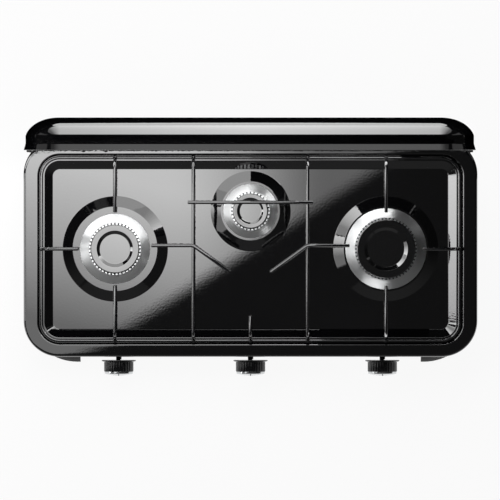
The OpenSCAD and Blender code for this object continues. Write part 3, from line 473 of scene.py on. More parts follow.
# %% [markdown]
# ## The top plate
#
# The plate is one pressing: a skirt, a rounded rim, a step down to a ledge, a slope to the floor
# and three round bosses. The rim and the recess are each carried around their own round
# rectangle, because the recess sits 2.5 mm forward. Bridging joins their two loops into the
# flat rim, the bosses are spun, and a triangle fill closes the floor around them.

# %% Rim and recess
CORNER_X, CORNER_Y, CORNER_R, CORNER_STEPS = 277.5, 106.5, 52.5, 20
SKIRT_Z, LEDGE_Z, FLOOR_Z = 48, 67.5, 60
RECESS_Y, STEP_R, LEDGE, SLOPE = -2.5, 31.2, 9, 12


def loose_edges(bm, z):
    return [
        e for e in bm.edges
        if e.is_boundary and all(abs(v.co.z - z) < 0.01 for v in e.verts)
    ]


def joined(meshes):
    """One bmesh from several."""
    whole = bmesh.new()
    for part in meshes:
        holder = bpy.data.meshes.new("holder")
        part.to_mesh(holder)
        whole.from_mesh(holder)
        bpy.data.meshes.remove(holder)
        part.free()
    return whole


rim = bmesh.new()
rim_line = chain(
    rim, [(CORNER_R, SKIRT_Z), (CORNER_R, RIM_TOP), (CORNER_R - 7, RIM_TOP)], {1: 4}, 8
)
round_rectangle(rim, rim_line, CORNER_X, CORNER_Y, 0, CORNER_STEPS)
recess = bmesh.new()
slope_top = STEP_R - LEDGE
slope_end = slope_top - SLOPE
recess_line = chain(
    recess,
    [
        (STEP_R + 5, RIM_TOP),
        (STEP_R, RIM_TOP),
        (STEP_R, LEDGE_Z),
        (slope_top, LEDGE_Z),
        (slope_end, FLOOR_Z),
        (slope_end - 0.8, FLOOR_Z),
    ],
    {1: 2, 2: 2, 3: 2, 4: 2},
)
round_rectangle(recess, recess_line, CORNER_X, CORNER_Y, RECESS_Y, CORNER_STEPS)
plate = joined([rim, recess])
bmesh.ops.bridge_loops(plate, edges=loose_edges(plate, RIM_TOP))
print("rim and recess:", len(plate.faces), "faces")

# %% Bosses and floor
BOSSES = {"left": (-197, -2, 61.5), "right": (197, -2, 61.5), "middle": (0, 53, 43)}
CAP_R = {"left": 35.6, "right": 42.8, "middle": 25.8}
BOSS_TOP, BOSS_SLOPE = 66, 15
SHEET, EASE = 1.0, 0.3


def spin_round(bm, steps=96):
    bmesh.ops.spin(
        bm, geom=bm.verts[:] + bm.edges[:], cent=(0, 0, 0), axis=(0, 0, 1),
        dvec=(0, 0, 0), angle=2 * math.pi, steps=steps, use_merge=True,
    )
    bmesh.ops.remove_doubles(bm, verts=bm.verts, dist=0.001)
    bmesh.ops.recalc_face_normals(bm, faces=bm.faces)


for name, (x, y, top_r) in BOSSES.items():
    boss = bmesh.new()
    chain(
        boss,
        [
            (top_r + BOSS_SLOPE + 0.6, FLOOR_Z),
            (top_r + BOSS_SLOPE, FLOOR_Z),
            (top_r, BOSS_TOP),
            (CAP_R[name] - 6, BOSS_TOP),
        ],
        {1: 2, 2: 2},
        4,
    )
    spin_round(boss)
    bmesh.ops.translate(boss, vec=(x, y, 0), verts=boss.verts)
    plate = joined([plate, boss])
bmesh.ops.triangle_fill(plate, use_beauty=True, edges=loose_edges(plate, FLOOR_Z))
face_up(plate, lambda faces: max(faces, key=lambda f: f.calc_area()))
bmesh.ops.solidify(plate, geom=plate.faces[:], thickness=SHEET)
ease_edges(plate, EASE)
piece("top_plate_enamelled", plate, enamel, "base", ["top_plate"], flats=True)

# %% [markdown]
# ## The lid
#
# The lid is a deep pressing with a flared lip, a straight wall, and a crown that leaves the wall
# in a tight bend and then curves like part of an ellipse. Spinning one vertex draws the arc of a
# circle, and scaling it makes the ellipse. The lid is modelled shut, with the wall cut away over
# the hinges, and then turned a quarter about the hinge axis to stand open.

# %% Lid section
LID_X, LID_Y, LID_CENTRE_Y = 270.5, 101, 4
LIP_Z, NOTCH_TOP, WALL_TOP, LID_TOP = 77, 90.63, 97.5, 123.5
WALL_R, FLAT_R = 49.9, 3
HINGE = Vector((0, 150.5, 86.5))
HINGE_X, HALF_NOTCH = 226.5, 20.5
CROWN_START = math.radians(11.4)
lid = bmesh.new()
lid_line = [(CORNER_R, LIP_Z), (WALL_R, LIP_Z + 9), (WALL_R, NOTCH_TOP), (WALL_R, WALL_TOP)]
chain(lid, lid_line, {1: 6}, 4)
wide, high = math.cos(CROWN_START), 1 - math.sin(CROWN_START)
leaving = lid.verts.new((wide, 0, math.sin(CROWN_START)))
bmesh.ops.spin(
    lid, geom=[leaving], cent=(0, 0, 0), axis=(0, 1, 0), dvec=(0, 0, 0),
    angle=CROWN_START - math.pi / 2, steps=20, use_merge=False,
)
crown = [v for v in lid.verts if v.co.z < 1.01]
bmesh.ops.translate(lid, vec=(0, 0, -1), verts=crown)
crown_size = ((WALL_R - FLAT_R) / wide, 1, (LID_TOP - WALL_TOP) / high)
bmesh.ops.scale(lid, vec=crown_size, verts=crown)
bmesh.ops.translate(lid, vec=(FLAT_R, 0, LID_TOP), verts=crown)
bmesh.ops.remove_doubles(lid, verts=lid.verts, dist=0.01)
print("lid section:", len(lid.edges), "edges")

# %% Lid corners, notches and top
outer_run = LID_X - HINGE_X - HALF_NOTCH
middle_run = 2 * (HINGE_X - HALF_NOTCH)
round_rectangle(
    lid, lid.edges[:], LID_X, LID_Y, LID_CENTRE_Y, CORNER_STEPS,
    rear_runs=[outer_run, 2 * HALF_NOTCH, middle_run, 2 * HALF_NOTCH, outer_run],
)
notches = [
    f for f in lid.faces
    if f.calc_center_median().y > 150
    and abs(abs(f.calc_center_median().x) - HINGE_X) < HALF_NOTCH
    and f.calc_center_median().z < NOTCH_TOP
]
bmesh.ops.delete(lid, geom=notches, context="FACES")
bmesh.ops.holes_fill(lid, edges=loose_edges(lid, LID_TOP))
face_up(lid, lambda faces: max(faces, key=lambda f: f.calc_area()))
bmesh.ops.solidify(lid, geom=lid.faces[:], thickness=SHEET)
ease_edges(lid, EASE)
bmesh.ops.rotate(
    lid, cent=HINGE, matrix=Matrix.Rotation(math.radians(-90), 3, "X"), verts=lid.verts
)
piece("lid_enamelled", lid, enamel, "lid", ["lid_shell"], flats=True)

# %% [markdown]
# ## The burner heads
#
# A head is a cone, turned from its outer edge up to a crown, and the crown is sawn into teeth by
# the flame slots. The cone is a full spin of its section. One tooth is a small eased block, and
# spin makes its copies: for n teeth it turns n - 1 steps, so that none lies on the first.

# %% Heads
HEADS = {"left": (51, 44), "middle": (39.5, 32), "right": (59, 52)}
HEAD_TOP, CUP_FLOOR, SLOT_FLOOR, THROAT_R = 84, BOSS_TOP + 4, BOSS_TOP + 11.5, 9
TOOTH_DEEP, TOOTH_HIGH, FLAME_SLOT = 4.5, 6.7, 1.8


def is_unturned_or_in_shade(face, crown_r, x, y):
    """Slot floors, tooth sides and the inside of the crown, which the lathe doesn't reach; their
    darker finish is partly painted shade.
    """
    middle = face.calc_center_median()
    out = math.hypot(middle.x - x, middle.y - y)
    return CUP_FLOOR - 0.1 < middle.z < HEAD_TOP - 0.1 and out < crown_r - 0.05


def burner_head(name):
    head_r, slots = HEADS[name]
    x, y, _ = BOSSES[name]
    crown_r = CAP_R[name] + 2.5
    cone = bmesh.new()
    chain(
        cone,
        [
            (THROAT_R, CUP_FLOOR),
            (THROAT_R, BOSS_TOP),
            (head_r, BOSS_TOP),
            (head_r, BOSS_TOP + 1.5),
            (crown_r + 1.5, BOSS_TOP + 9.5),
            (crown_r, BOSS_TOP + 10.3),
            (crown_r, SLOT_FLOOR),
            (crown_r - TOOTH_DEEP, SLOT_FLOOR),
            (crown_r - TOOTH_DEEP, CUP_FLOOR),
            (THROAT_R, CUP_FLOOR),
        ],
        {2: 0.4, 3: 0.5, 4: 1.2},
        3,
    )
    spin_round(cone)
    tooth = bmesh.new()
    bmesh.ops.create_cube(tooth, size=1)
    wide = 2 * math.pi * crown_r / slots - FLAME_SLOT
    bmesh.ops.scale(tooth, vec=(TOOTH_DEEP, wide, TOOTH_HIGH), verts=tooth.verts)
    ease_edges(tooth, 0.25, segments=1)
    bmesh.ops.translate(
        tooth, vec=(crown_r - TOOTH_DEEP / 2, 0, HEAD_TOP - TOOTH_HIGH / 2), verts=tooth.verts
    )
    bmesh.ops.rotate(
        tooth, cent=(0, 0, 0), matrix=Matrix.Rotation(math.pi / slots, 3, "Z"), verts=tooth.verts
    )
    bmesh.ops.spin(
        tooth, geom=tooth.verts[:] + tooth.edges[:] + tooth.faces[:], cent=(0, 0, 0),
        axis=(0, 0, 1), dvec=(0, 0, 0), angle=2 * math.pi * (slots - 1) / slots,
        steps=slots - 1, use_duplicate=True,
    )
    head = joined([cone, tooth])
    bmesh.ops.translate(head, vec=(x, y, 0), verts=head.verts)
    finish = turned_metal(
        "turned_aluminium_" + name, (x, y, 0), "Z", 1.1, "#c8c9ca", "#e2e3e3", (0.38, 0.46), 0.6
    )
    # These faces get the cast finish, whose darker grey is painted shade in the slots and the
    # crown.
    unturned_and_shaded_faces = [f for f in head.faces if is_unturned_or_in_shade(f, crown_r, x, y)]
    for f in unturned_and_shaded_faces:
        f.material_index = 1
    made = piece(
        name + "_head_turned", head, finish, "base", [name + "_head"], sharp=30
    )
    made.data.materials.append(cast_and_shade_finish)


for name in HEADS:
    burner_head(name)

# %% [markdown]
# ## The burner caps
#
# Each cap is an enamelled disc with a rounded edge and a shallow dish. Its section ends on the
# axis, where a full spin brings all copies of the last vertex together, and merging doubles
# closes that pole.

# %% Caps
def burner_cap(name):
    x, y, _ = BOSSES[name]
    r = CAP_R[name]
    inner = r - 2.3
    cap = bmesh.new()
    chain(
        cap,
        [
            (0, HEAD_TOP + 0.5),
            (inner - 3, HEAD_TOP + 0.5),
            (inner - 3, HEAD_TOP - 2.5),
            (inner, HEAD_TOP - 2.5),
            (inner, HEAD_TOP),
            (r, HEAD_TOP),
            (r, HEAD_TOP + 5),
            (r * 0.74, HEAD_TOP + 4.7),
            (r * 0.62, HEAD_TOP + 2.4),
            (0, HEAD_TOP + 2.4),
        ],
        {5: 0.5, 6: 1.7, 7: 2.0, 8: 2.5},
    )
    spin_round(cap)
    bmesh.ops.translate(cap, vec=(x, y, 0), verts=cap.verts)
    piece(name + "_cap_enamelled", cap, cap_enamel, "base", [name + "_cap"], flats=True)


for name in CAP_R:
    burner_cap(name)

# %% [markdown]
# ## The pan support
#
# The support is bent from 5 mm wire and welded. A wire is a circle that is extruded along its
# straight runs and spun around its bends, so it keeps its round section everywhere. The ends are
# capped and eased, and each weld is a small flattened bead where two wires meet.

# %% Bending wire
WIRE_R = 2.5


def wire(bm, points, bend, closed=False):
    spots = [Vector(p) for p in points]
    way = (spots[1] - spots[0]).normalized()
    square = Matrix.Translation(spots[0]) @ way.to_track_quat("Z", "Y").to_matrix().to_4x4()
    ring = bmesh.ops.create_circle(
        bm, cap_ends=False, segments=16, radius=WIRE_R, matrix=square
    )["verts"]
    first = list({e for v in ring for e in v.link_edges})
    edges, here = first, spots[0]
    for before, corner, after in zip(spots, spots[1:], spots[2:]):
        way, on = (corner - before).normalized(), (after - corner).normalized()
        angle = way.angle(on)
        start = corner - way * bend * math.tan(angle / 2)
        edges = run(bm, edges, start - here)
        inward = (on - way * way.dot(on)).normalized()
        steps = max(3, round(math.degrees(angle) / 7))
        edges = turn(bm, edges, start + inward * bend, way.cross(on), angle, steps)
        here = corner + on * bend * math.tan(angle / 2)
    edges = run(bm, edges, spots[-1] - here)
    if not closed:
        for end in (first, edges):
            bmesh.ops.holes_fill(bm, edges=end)
            bmesh.ops.bevel(
                bm, geom=end, offset=0.7, offset_type="OFFSET", affect="EDGES",
                segments=2, profile=0.5, material=-1,
            )


def weld_bead(bm, spot, size):
    flat = Matrix.Translation(spot) @ Matrix.Diagonal((1, 1, 0.7, 1))
    bmesh.ops.create_icosphere(bm, subdivisions=2, radius=size, matrix=flat)


def tidy(bm):
    bmesh.ops.remove_doubles(bm, verts=bm.verts, dist=0.002)
    bmesh.ops.recalc_face_normals(bm, faces=bm.faces)


# %% Frame wire
FRAME_X, FRAME_FRONT, FRAME_REAR, FRAME_Z = 304, -135.5, 130.5, 70.1
FRAME_BEND, SEAM_X = 26.5, -140
frame_wire = bmesh.new()
wire(
    frame_wire,
    [
        (SEAM_X, FRAME_FRONT, FRAME_Z),
        (FRAME_X, FRAME_FRONT, FRAME_Z),
        (FRAME_X, FRAME_REAR, FRAME_Z),
        (-FRAME_X, FRAME_REAR, FRAME_Z),
        (-FRAME_X, FRAME_FRONT, FRAME_Z),
        (SEAM_X, FRAME_FRONT, FRAME_Z),
    ],
    FRAME_BEND,
    closed=True,
)
tidy(frame_wire)
piece("grate_frame_wire", frame_wire, wire_enamel, "grate", ["grate_frame"])

# %% Long, cross and bent wires
LEAN, LEG_BEND, LEG_END = 9, 6, FRAME_Z + 0.6
PAN_Z, CARRIER_X, CARRIER_Z = 101.1, 83, 96.4
CROSS_X, CROSS_Y = 91, 65.7
BENT_X, BENT_Y, BENT_TIP_X, BENT_TIP_Y, BENT_BEND = 144, 3, 29, -36, 12
PAN_WELD_Z, PAN_WELD = 98.8, 3.0
FRAME_WELD_Z, FRAME_WELD = FRAME_Z + 2, 3.3
wires = bmesh.new()
for side in (-1, 1):
    x = side * CARRIER_X
    wire(
        wires,
        [
            (x, FRAME_FRONT, LEG_END),
            (x, FRAME_FRONT + LEAN, CARRIER_Z),
            (x, FRAME_REAR - LEAN, CARRIER_Z),
            (x, FRAME_REAR, LEG_END),
        ],
        LEG_BEND,
    )
    tip = (side * BENT_TIP_X, BENT_TIP_Y, PAN_Z)
    wire(wires, [(side * BENT_X, BENT_Y, PAN_Z), (x, BENT_Y, PAN_Z), tip], BENT_BEND)
    for y in (BENT_Y, CROSS_Y):
        weld_bead(wires, (x, y, PAN_WELD_Z), PAN_WELD)
    for y in (FRAME_FRONT, FRAME_REAR):
        weld_bead(wires, (x, y, FRAME_WELD_Z), FRAME_WELD)
wire(wires, [(-CROSS_X, CROSS_Y, PAN_Z), (CROSS_X, CROSS_Y, PAN_Z)], LEG_BEND)
tidy(wires)
piece("grate_long_wires", wires, wire_enamel, "grate", ["grate_wires"])

# %% Fingers
REAR_TIP, FRONT_TIP, SIDE_TIP, MIDDLE_TIP = 51, -55, 250, -99.5
fingers = bmesh.new()


def finger(foot, knee, tip):
    """A wire from the frame up to the pan's height, with its weld; points are x and y."""
    wire(fingers, [(*foot, LEG_END), (*knee, PAN_Z), (*tip, PAN_Z)], LEG_BEND)
    weld_bead(fingers, (*foot, FRAME_WELD_Z), FRAME_WELD)


for name in ("left", "right"):
    x, y, _ = BOSSES[name]
    side = math.copysign(1, x)
    finger((x, FRAME_REAR), (x, FRAME_REAR - LEAN), (x, REAR_TIP))
    finger((x, FRAME_FRONT), (x, FRAME_FRONT + LEAN), (x, FRONT_TIP))
    finger((side * FRAME_X, y), (side * (FRAME_X - LEAN), y), (side * SIDE_TIP, y))
finger((0, FRAME_FRONT), (0, FRAME_FRONT + LEAN), (0, MIDDLE_TIP))
tidy(fingers)
piece("grate_short_fingers", fingers, wire_enamel, "grate", ["grate_fingers"])

# %% [markdown]
# ## The knobs
#
# A knob is a moulded grip with flutes and a wide flange behind it. Its outline seen from the front
# is one flute repeated, so a single flute's line is drawn and spin copies it round. The outline
# is then extruded along the grip and drawn in slightly at its front edge, and the flange behind it
# is spun like the caps. Knobs are modelled along Z and then laid on the tap axis.

# %% Grips
KNOB_X = {"left": -192, "middle": 0, "right": 192}
TAP_Z = 44
KNOB_BACK = -164
FLUTES, FLUTE_DEEP = 32, 0.6
GRIP_R, FLANGE_R, BORE_R = 21.4, 25, 4.05


def onto_tap(bm, x):
    """Lays a piece that was modelled along Z forward on a tap axis."""
    bmesh.ops.rotate(
        bm, cent=(0, 0, 0), matrix=Matrix.Rotation(math.pi / 2, 3, "X"), verts=bm.verts
    )
    bmesh.ops.translate(bm, vec=(x, KNOB_BACK, TAP_Z), verts=bm.verts)


def flute_outline(bm, r, depth):
    step = 2 * math.pi / FLUTES
    half = [(0.17, r - 0.6 * depth), (0.3, r), (0.5, r)]
    shape = [(-a, d) for a, d in reversed(half)] + [(0, r - depth)] + half
    spots = [Vector((d * math.cos(a * step), d * math.sin(a * step), 0)) for a, d in shape]
    verts = [bm.verts.new(spot) for spot in spots]
    edges = [bm.edges.new(pair) for pair in zip(verts, verts[1:])]
    bmesh.ops.spin(
        bm, geom=verts + edges, cent=(0, 0, 0), axis=(0, 0, 1), dvec=(0, 0, 0),
        angle=2 * math.pi * (FLUTES - 1) / FLUTES, steps=FLUTES - 1, use_duplicate=True,
    )
    bmesh.ops.remove_doubles(bm, verts=bm.verts, dist=0.002)


def grip(name):
    bm = bmesh.new()
    flute_outline(bm, GRIP_R, FLUTE_DEEP)
    edges = bm.edges[:]
    bmesh.ops.translate(bm, vec=(0, 0, 2.5), verts=bm.verts)
    for rise, size in ((13.6, 1.0), (0.6, 0.985), (0.3, 0.955)):
        edges = run(bm, edges, Vector((0, 0, rise)))
        ring = list({v for e in edges for v in e.verts})
        bmesh.ops.scale(bm, vec=(size, size, 1), verts=ring)
    bmesh.ops.holes_fill(bm, edges=edges)
    flange = bmesh.new()
    chain(
        flange,
        [
            (BORE_R, 0),
            (FLANGE_R, 0),
            (FLANGE_R, 1.6),
            (GRIP_R - 0.3, 3),
            (GRIP_R - 0.3, 3.6),
            (BORE_R, 3.6),
        ],
        {1: 0.5, 2: 0.5, 3: 1.2},
        3,
    )
    spin_round(flange, 64)
    whole = joined([bm, flange])
    bmesh.ops.recalc_face_normals(whole, faces=whole.faces)
    onto_tap(whole, KNOB_X[name])
    piece(
        name + "_grip", whole, knob_abs, name + "_control", [name + "_knob"],
        sharp=50,
    )


for name in KNOB_X:
    grip(name)

# %% [markdown]
# The bright cap on the front is a thin spun dish: a short band, a rounded edge and a low dome,
# with a raised bar that shows which way the tap is turned.

# %% Knob caps
def knob_cap(name):
    cap = bmesh.new()
    rim_r, base, band_top, rise = 20.7, 17, 20, 2.9
    dome = (rim_r**2 + rise**2) / (2 * rise)
    edge_angle = math.asin(rim_r / dome)
    chain(cap, [(0, base), (rim_r, base), (rim_r, band_top)], {})
    top = cap.verts.new((rim_r, 0, band_top))
    bmesh.ops.spin(
        cap, geom=[top], cent=(0, 0, band_top + rise - dome), axis=(0, 1, 0), dvec=(0, 0, 0),
        angle=-edge_angle, steps=12, use_merge=False,
    )
    bmesh.ops.remove_doubles(cap, verts=cap.verts, dist=0.005)
    corner = [v for v in cap.verts if (v.co - Vector((rim_r, 0, band_top))).length < 0.01]
    bmesh.ops.bevel(
        cap, geom=corner, offset=0.8, offset_type="OFFSET", affect="VERTICES",
        segments=4, profile=0.5, material=-1,
    )
    spin_round(cap, 64)
    bar = bmesh.new()
    bmesh.ops.create_cube(bar, size=1)
    bmesh.ops.scale(bar, vec=(1.6, 10, 3.6), verts=bar.verts)
    ease_edges(bar, 0.45)
    bmesh.ops.translate(bar, vec=(0, 12, base + 4.05), verts=bar.verts)
    whole = joined([cap, bar])
    onto_tap(whole, KNOB_X[name])
    finish = turned_metal(
        "satin_chrome_" + name, (KNOB_X[name], 0, TAP_Z), "Y", 0.8,
        "#cbcdce", "#e4e5e6", (0.14, 0.24), 0.4,
    )
    piece(
        name + "_cap_bright", whole, finish, name + "_control", [name + "_knob_cap"],
        sharp=35,
    )


for name in KNOB_X:
    knob_cap(name)

# %% [markdown]
# ## The feet
#
# A moulded foot wraps each lower corner with a wall that flares towards the table, and a shelf
# inside it takes the screw and the pad. The wall's section is carried along a short straight, a
# quarter turn and another short straight. The shelf starts from a vertex that is spun into its
# round edge. One foot is modelled, and scaling by -1 mirrors it to the other corners.

# %% Feet
FOOT_X, FOOT_Y, TAIL = 253, 90.5, 4.6
SHELF_R, SHELF_Z, SHELF_THICK = 73, 8, 5.9


def corner_foot(name, side_x, side_y):
    wall = bmesh.new()
    section = [(74, 4), (77, 4), (68, 46), (65, 46)]
    chain(wall, section + section[:1], {1: 0.8, 2: 1.2, 3: 1.0}, 3)
    bmesh.ops.remove_doubles(wall, verts=wall.verts, dist=0.002)
    bmesh.ops.translate(wall, vec=(0, -TAIL, 0), verts=wall.verts)
    start = wall.edges[:]
    edges = run(wall, start, Vector((0, TAIL, 0)))
    edges = turn(wall, edges, (0, 0, 0), (0, 0, 1), math.pi / 2, CORNER_STEPS)
    edges = run(wall, edges, Vector((-TAIL, 0, 0)))
    bmesh.ops.holes_fill(wall, edges=start)
    bmesh.ops.holes_fill(wall, edges=edges)
    shelf = bmesh.new()
    tip = shelf.verts.new((SHELF_R, 0, SHELF_Z))
    bmesh.ops.spin(
        shelf, geom=[tip], cent=(0, 0, 0), axis=(0, 0, 1), dvec=(0, 0, 0),
        angle=math.pi / 2, steps=CORNER_STEPS, use_merge=False,
    )
    ends = [max(shelf.verts, key=lambda v: v.co.y)]
    for x, y in ((-TAIL, SHELF_R), (-TAIL, -TAIL), (SHELF_R, -TAIL)):
        ends.append(shelf.verts.new((x, y, SHELF_Z)))
    for pair in zip(ends, ends[1:] + [tip]):
        shelf.edges.new(pair)
    sheet = bmesh.ops.contextual_create(shelf, geom=shelf.edges[:])["faces"][0]
    thick = bmesh.ops.extrude_face_region(shelf, geom=[sheet])["geom"]
    bmesh.ops.translate(
        shelf, vec=(0, 0, SHELF_THICK),
        verts=[g for g in thick if isinstance(g, bmesh.types.BMVert)],
    )
    foot = joined([wall, shelf])
    bmesh.ops.scale(foot, vec=(side_x, side_y, 1), verts=foot.verts)
    bmesh.ops.translate(foot, vec=(side_x * FOOT_X, side_y * FOOT_Y, 0), verts=foot.verts)
    bmesh.ops.recalc_face_normals(foot, faces=foot.faces)
    piece(name + "_moulded", foot, foot_plastic, "base", [name], sharp=35)


for side_y, end in ((-1, "front"), (1, "rear")):
    for side_x, hand in ((-1, "left"), (1, "right")):
        corner_foot("foot_" + end + "_" + hand, side_x, side_y)

# %% [markdown]
# ## Pieces that keep their shape
#
# The tray, hinges, screws, pads and gas fittings are right as the frame has them. Their meshes
# are loose flat triangles, so those that show get a copy whose doubles are merged and which is
# shaded smooth up to its real edges. Everything inside the body only needs its finish.

# %% Finishes for the frame's own nodes
FINISH = {
    "enamel": enamel,
    "zinc_steel": galvanised,
    "steel": plated,
    "foot_plastic": foot_plastic,
    "rubber": rubber,
    "brass": brass,
    "aluminium": galvanised,
    "knob_plastic": knob_abs,
    "knob_metal": plated,
}
slots = {s["node"]: s["material_slot"] for s in frame["record"]["subparts"]}
for name, node in frame["nodes"].items():
    node.data.materials.clear()
    node.data.materials.append(FINISH[slots[name]])
print("finished nodes:", len(slots))

# %% Smooth copies
SHOWN = [
    "base_tray", "foot_pads", "foot_screws", "tray_screws", "hose_tail", "hose_nut",
    "hinge_base_left", "hinge_base_right", "hinge_pins", "hinge_screws",
    "lid_leaf_left", "lid_leaf_right", "lid_rivets", "lid_buffers",
    "left_spindle", "middle_spindle", "right_spindle",
]
for name in SHOWN:
    copy = bmesh.new()
    copy.from_mesh(frame["nodes"][name].data)
    bmesh.ops.remove_doubles(copy, verts=copy.verts, dist=0.002 * MM)
    bmesh.ops.scale(copy, vec=(1 / MM, 1 / MM, 1 / MM), verts=copy.verts)
    body = frame["nodes"][name]["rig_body"]
    piece(name + "_smooth", copy, FINISH[slots[name]], body, [name], sharp=30)

# %% [markdown]
# ## Floor and background
#
# The hob stands on a plain white floor. For the camera, and for rays that come off metal or
# glass, the floor shines with a strength of 1, which is white, mixed with some of its own lit
# surface so that a soft shadow stays.

# %% Floor
def stage_sheet(name, size_x, size_y, place, round_edge=False):
    bm = bmesh.new()
    if round_edge:
        bmesh.ops.create_circle(bm, cap_ends=True, segments=48, radius=0.5)
    else:
        bmesh.ops.create_grid(bm, x_segments=1, y_segments=1, size=0.5)
    bmesh.ops.scale(bm, vec=(size_x, size_y, 1), verts=bm.verts)
    bmesh.ops.transform(bm, matrix=place, verts=bm.verts)
    mesh = bpy.data.meshes.new(name)
    bm.to_mesh(mesh)
    bm.free()
    made = bpy.data.objects.new(name, mesh)
    scene.collection.objects.link(made)
    return made


FLOOR_SIDE, FLOOR_GLOW = 60, 0.93
floor = stage_sheet("floor", FLOOR_SIDE, FLOOR_SIDE, Matrix.Identity(4))
white = bpy.data.materials.new("white_floor")
white.use_nodes = True
tree = white.node_tree
tree.nodes.clear()
lit = add(tree, "ShaderNodeBsdfDiffuse", {"Color": paint("#f2f2f2")}).outputs["BSDF"]
glow = add(tree, "ShaderNodeEmission", {"Color": (1, 1, 1, 1), "Strength": 1.0})
path = add(tree, "ShaderNodeLightPath", {})
direct = add(
    tree, "ShaderNodeMath",
    {0: path.outputs["Is Camera Ray"], 1: path.outputs["Is Glossy Ray"]}, operation="MAXIMUM",
)
seen = add(
    tree, "ShaderNodeMath",
    {0: direct.outputs[0], 1: path.outputs["Is Transmission Ray"]}, operation="MAXIMUM",
)
share = add(tree, "ShaderNodeMath", {0: seen.outputs[0], 1: FLOOR_GLOW}, operation="MULTIPLY")
mixed = add(
    tree, "ShaderNodeMixShader", {0: share.outputs[0], 1: lit, 2: glow.outputs["Emission"]}
)
add(tree, "ShaderNodeOutputMaterial", {"Surface": mixed.outputs["Shader"]})
floor.data.materials.append(white)
print("floor, m:", FLOOR_SIDE, "square")

# %% [markdown]
# ## Light
#
# Black enamel is lit by what it mirrors. The camera looks straight down, so the flat plate mirrors
# what is straight above it: a panel there shows as the grey half of the plate, and its soft
# diagonal edge is the edge that the photograph shows. Sheets beside and behind the hob draw the
# bright lines along the lid and the recess. The sheets are hidden from the camera, cast no shadow,
# and shine one way only: from behind they are clear, so that the inside of the lid doesn't mirror
# those that stand before it with their backs to it.

# %% Light sheets
QUARTER = math.pi / 2
FACING = {
    "up": Matrix.Identity(4),
    "down": Matrix.Rotation(math.pi, 4, "X"),
    "front": Matrix.Rotation(QUARTER, 4, "X"),
    "rear": Matrix.Rotation(-QUARTER, 4, "X"),
    "right": Matrix.Rotation(QUARTER, 4, "Y"),
    "left": Matrix.Rotation(-QUARTER, 4, "Y"),
}


def light_sheet(name, facing, size, spot, strength, round_edge=False):
    """Sizes and spots are in metres. Returns the sheet, its node tree and its strength socket."""
    place = Matrix.Translation(spot) @ FACING[facing]
    sheet = stage_sheet(name, *size, place, round_edge)
    sheet.visible_camera = False
    sheet.visible_shadow = False
    glowing = bpy.data.materials.new(name + "_glow")
    glowing.use_nodes = True
    sheet.data.materials.append(glowing)
    tree = glowing.node_tree
    tree.nodes.clear()
    shine = add(tree, "ShaderNodeEmission", {"Color": (1, 1, 1, 1), "Strength": strength})
    behind = add(tree, "ShaderNodeNewGeometry", {}).outputs["Backfacing"]
    clear = add(tree, "ShaderNodeBsdfTransparent", {})
    one_way = add(
        tree, "ShaderNodeMixShader",
        {0: behind, 1: shine.outputs["Emission"], 2: clear.outputs["BSDF"]},
    )
    add(tree, "ShaderNodeOutputMaterial", {"Surface": one_way.outputs["Shader"]})
    return sheet, tree, shine.inputs["Strength"]


# %% Falls of light
RIGHT, REAR = (1, 0, 0), (0, 1, 0)


def ramp(tree, way, start, end, low, high, smooth=False, both_ways=False):
    """A level that goes from low to high between two distances in metres along a direction."""
    place = add(tree, "ShaderNodeTexCoord", {}).outputs["Object"]
    along = add(tree, "ShaderNodeVectorMath", {0: place, 1: way}, operation="DOT_PRODUCT")
    along = along.outputs["Value"]
    if both_ways:
        along = add(tree, "ShaderNodeMath", {0: along}, operation="ABSOLUTE").outputs[0]
    level = add(
        tree, "ShaderNodeMapRange",
        {"Value": along, "From Min": start, "From Max": end, "To Min": low, "To Max": high},
        interpolation_type="SMOOTHSTEP" if smooth else "LINEAR",
    )
    return level.outputs["Result"]


def falling_sheet(name, facing, size, spot, fall, both_ways=False, round_edge=False):
    _, tree, strength = light_sheet(name, facing, size, spot, 1.0, round_edge)
    tree.links.new(ramp(tree, *fall, both_ways=both_ways), strength)


# %% [markdown]
# The panel's glow ends softly at the diagonal and before the lid, and it falls off to the front
# and to the right. Each of these is one ramp, and the ramps are multiplied. A little is added past
# the diagonal, because the dark half of the plate isn't fully black either.

# %% Overhead panel
PANEL_Z, DARK_HALF = 0.6, 0.045
_, tree, strength = light_sheet(
    "overhead_panel", "down", (1.17, 0.615), (-0.035, -0.1425, PANEL_Z), 1.0
)
edge_from, edge_to = Vector((-227.6, -149, 0)) * MM, Vector((186.8, 112.7, 0)) * MM
edge_out = Vector((edge_from.y - edge_to.y, edge_to.x - edge_from.x, 0)).normalized()
edge = edge_from.dot(edge_out)
diagonal = ramp(tree, edge_out, edge - 0.012, edge + 0.016, 0.0, 1.0, smooth=True)
rear_edge = ramp(tree, REAR, 0.142, 0.152, 1.0, 0.0, smooth=True)
front_fall = ramp(tree, (0.25, 1, 0), -0.19, 0.05, 1.2, 5.0)
right_fall = ramp(tree, RIGHT, -0.13, 0.12, 1.0, 0.2, smooth=True)
falls = add(tree, "ShaderNodeMath", {0: front_fall, 1: right_fall}, operation="MULTIPLY")
halves = add(
    tree, "ShaderNodeMath", {0: diagonal, 1: falls.outputs[0], 2: DARK_HALF},
    operation="MULTIPLY_ADD",
)
level = add(tree, "ShaderNodeMath", {0: halves.outputs[0], 1: rear_edge}, operation="MULTIPLY")
tree.links.new(level.outputs[0], strength)
print("overhead panel at", PANEL_Z, "m")

# %% [markdown]
# Behind the hob stands a wide oval screen, brightest in its middle, which draws the long highlight
# on the lid. Dim headers above it and at both sides are what the lid's lip mirrors. Two strips far
# to the left are for the slope at the right and for the middle burner. Small sheets close before
# the lid light the burners from behind, an oval one at the front lights the right burner, and a
# low black flag keeps the light off the front slope.

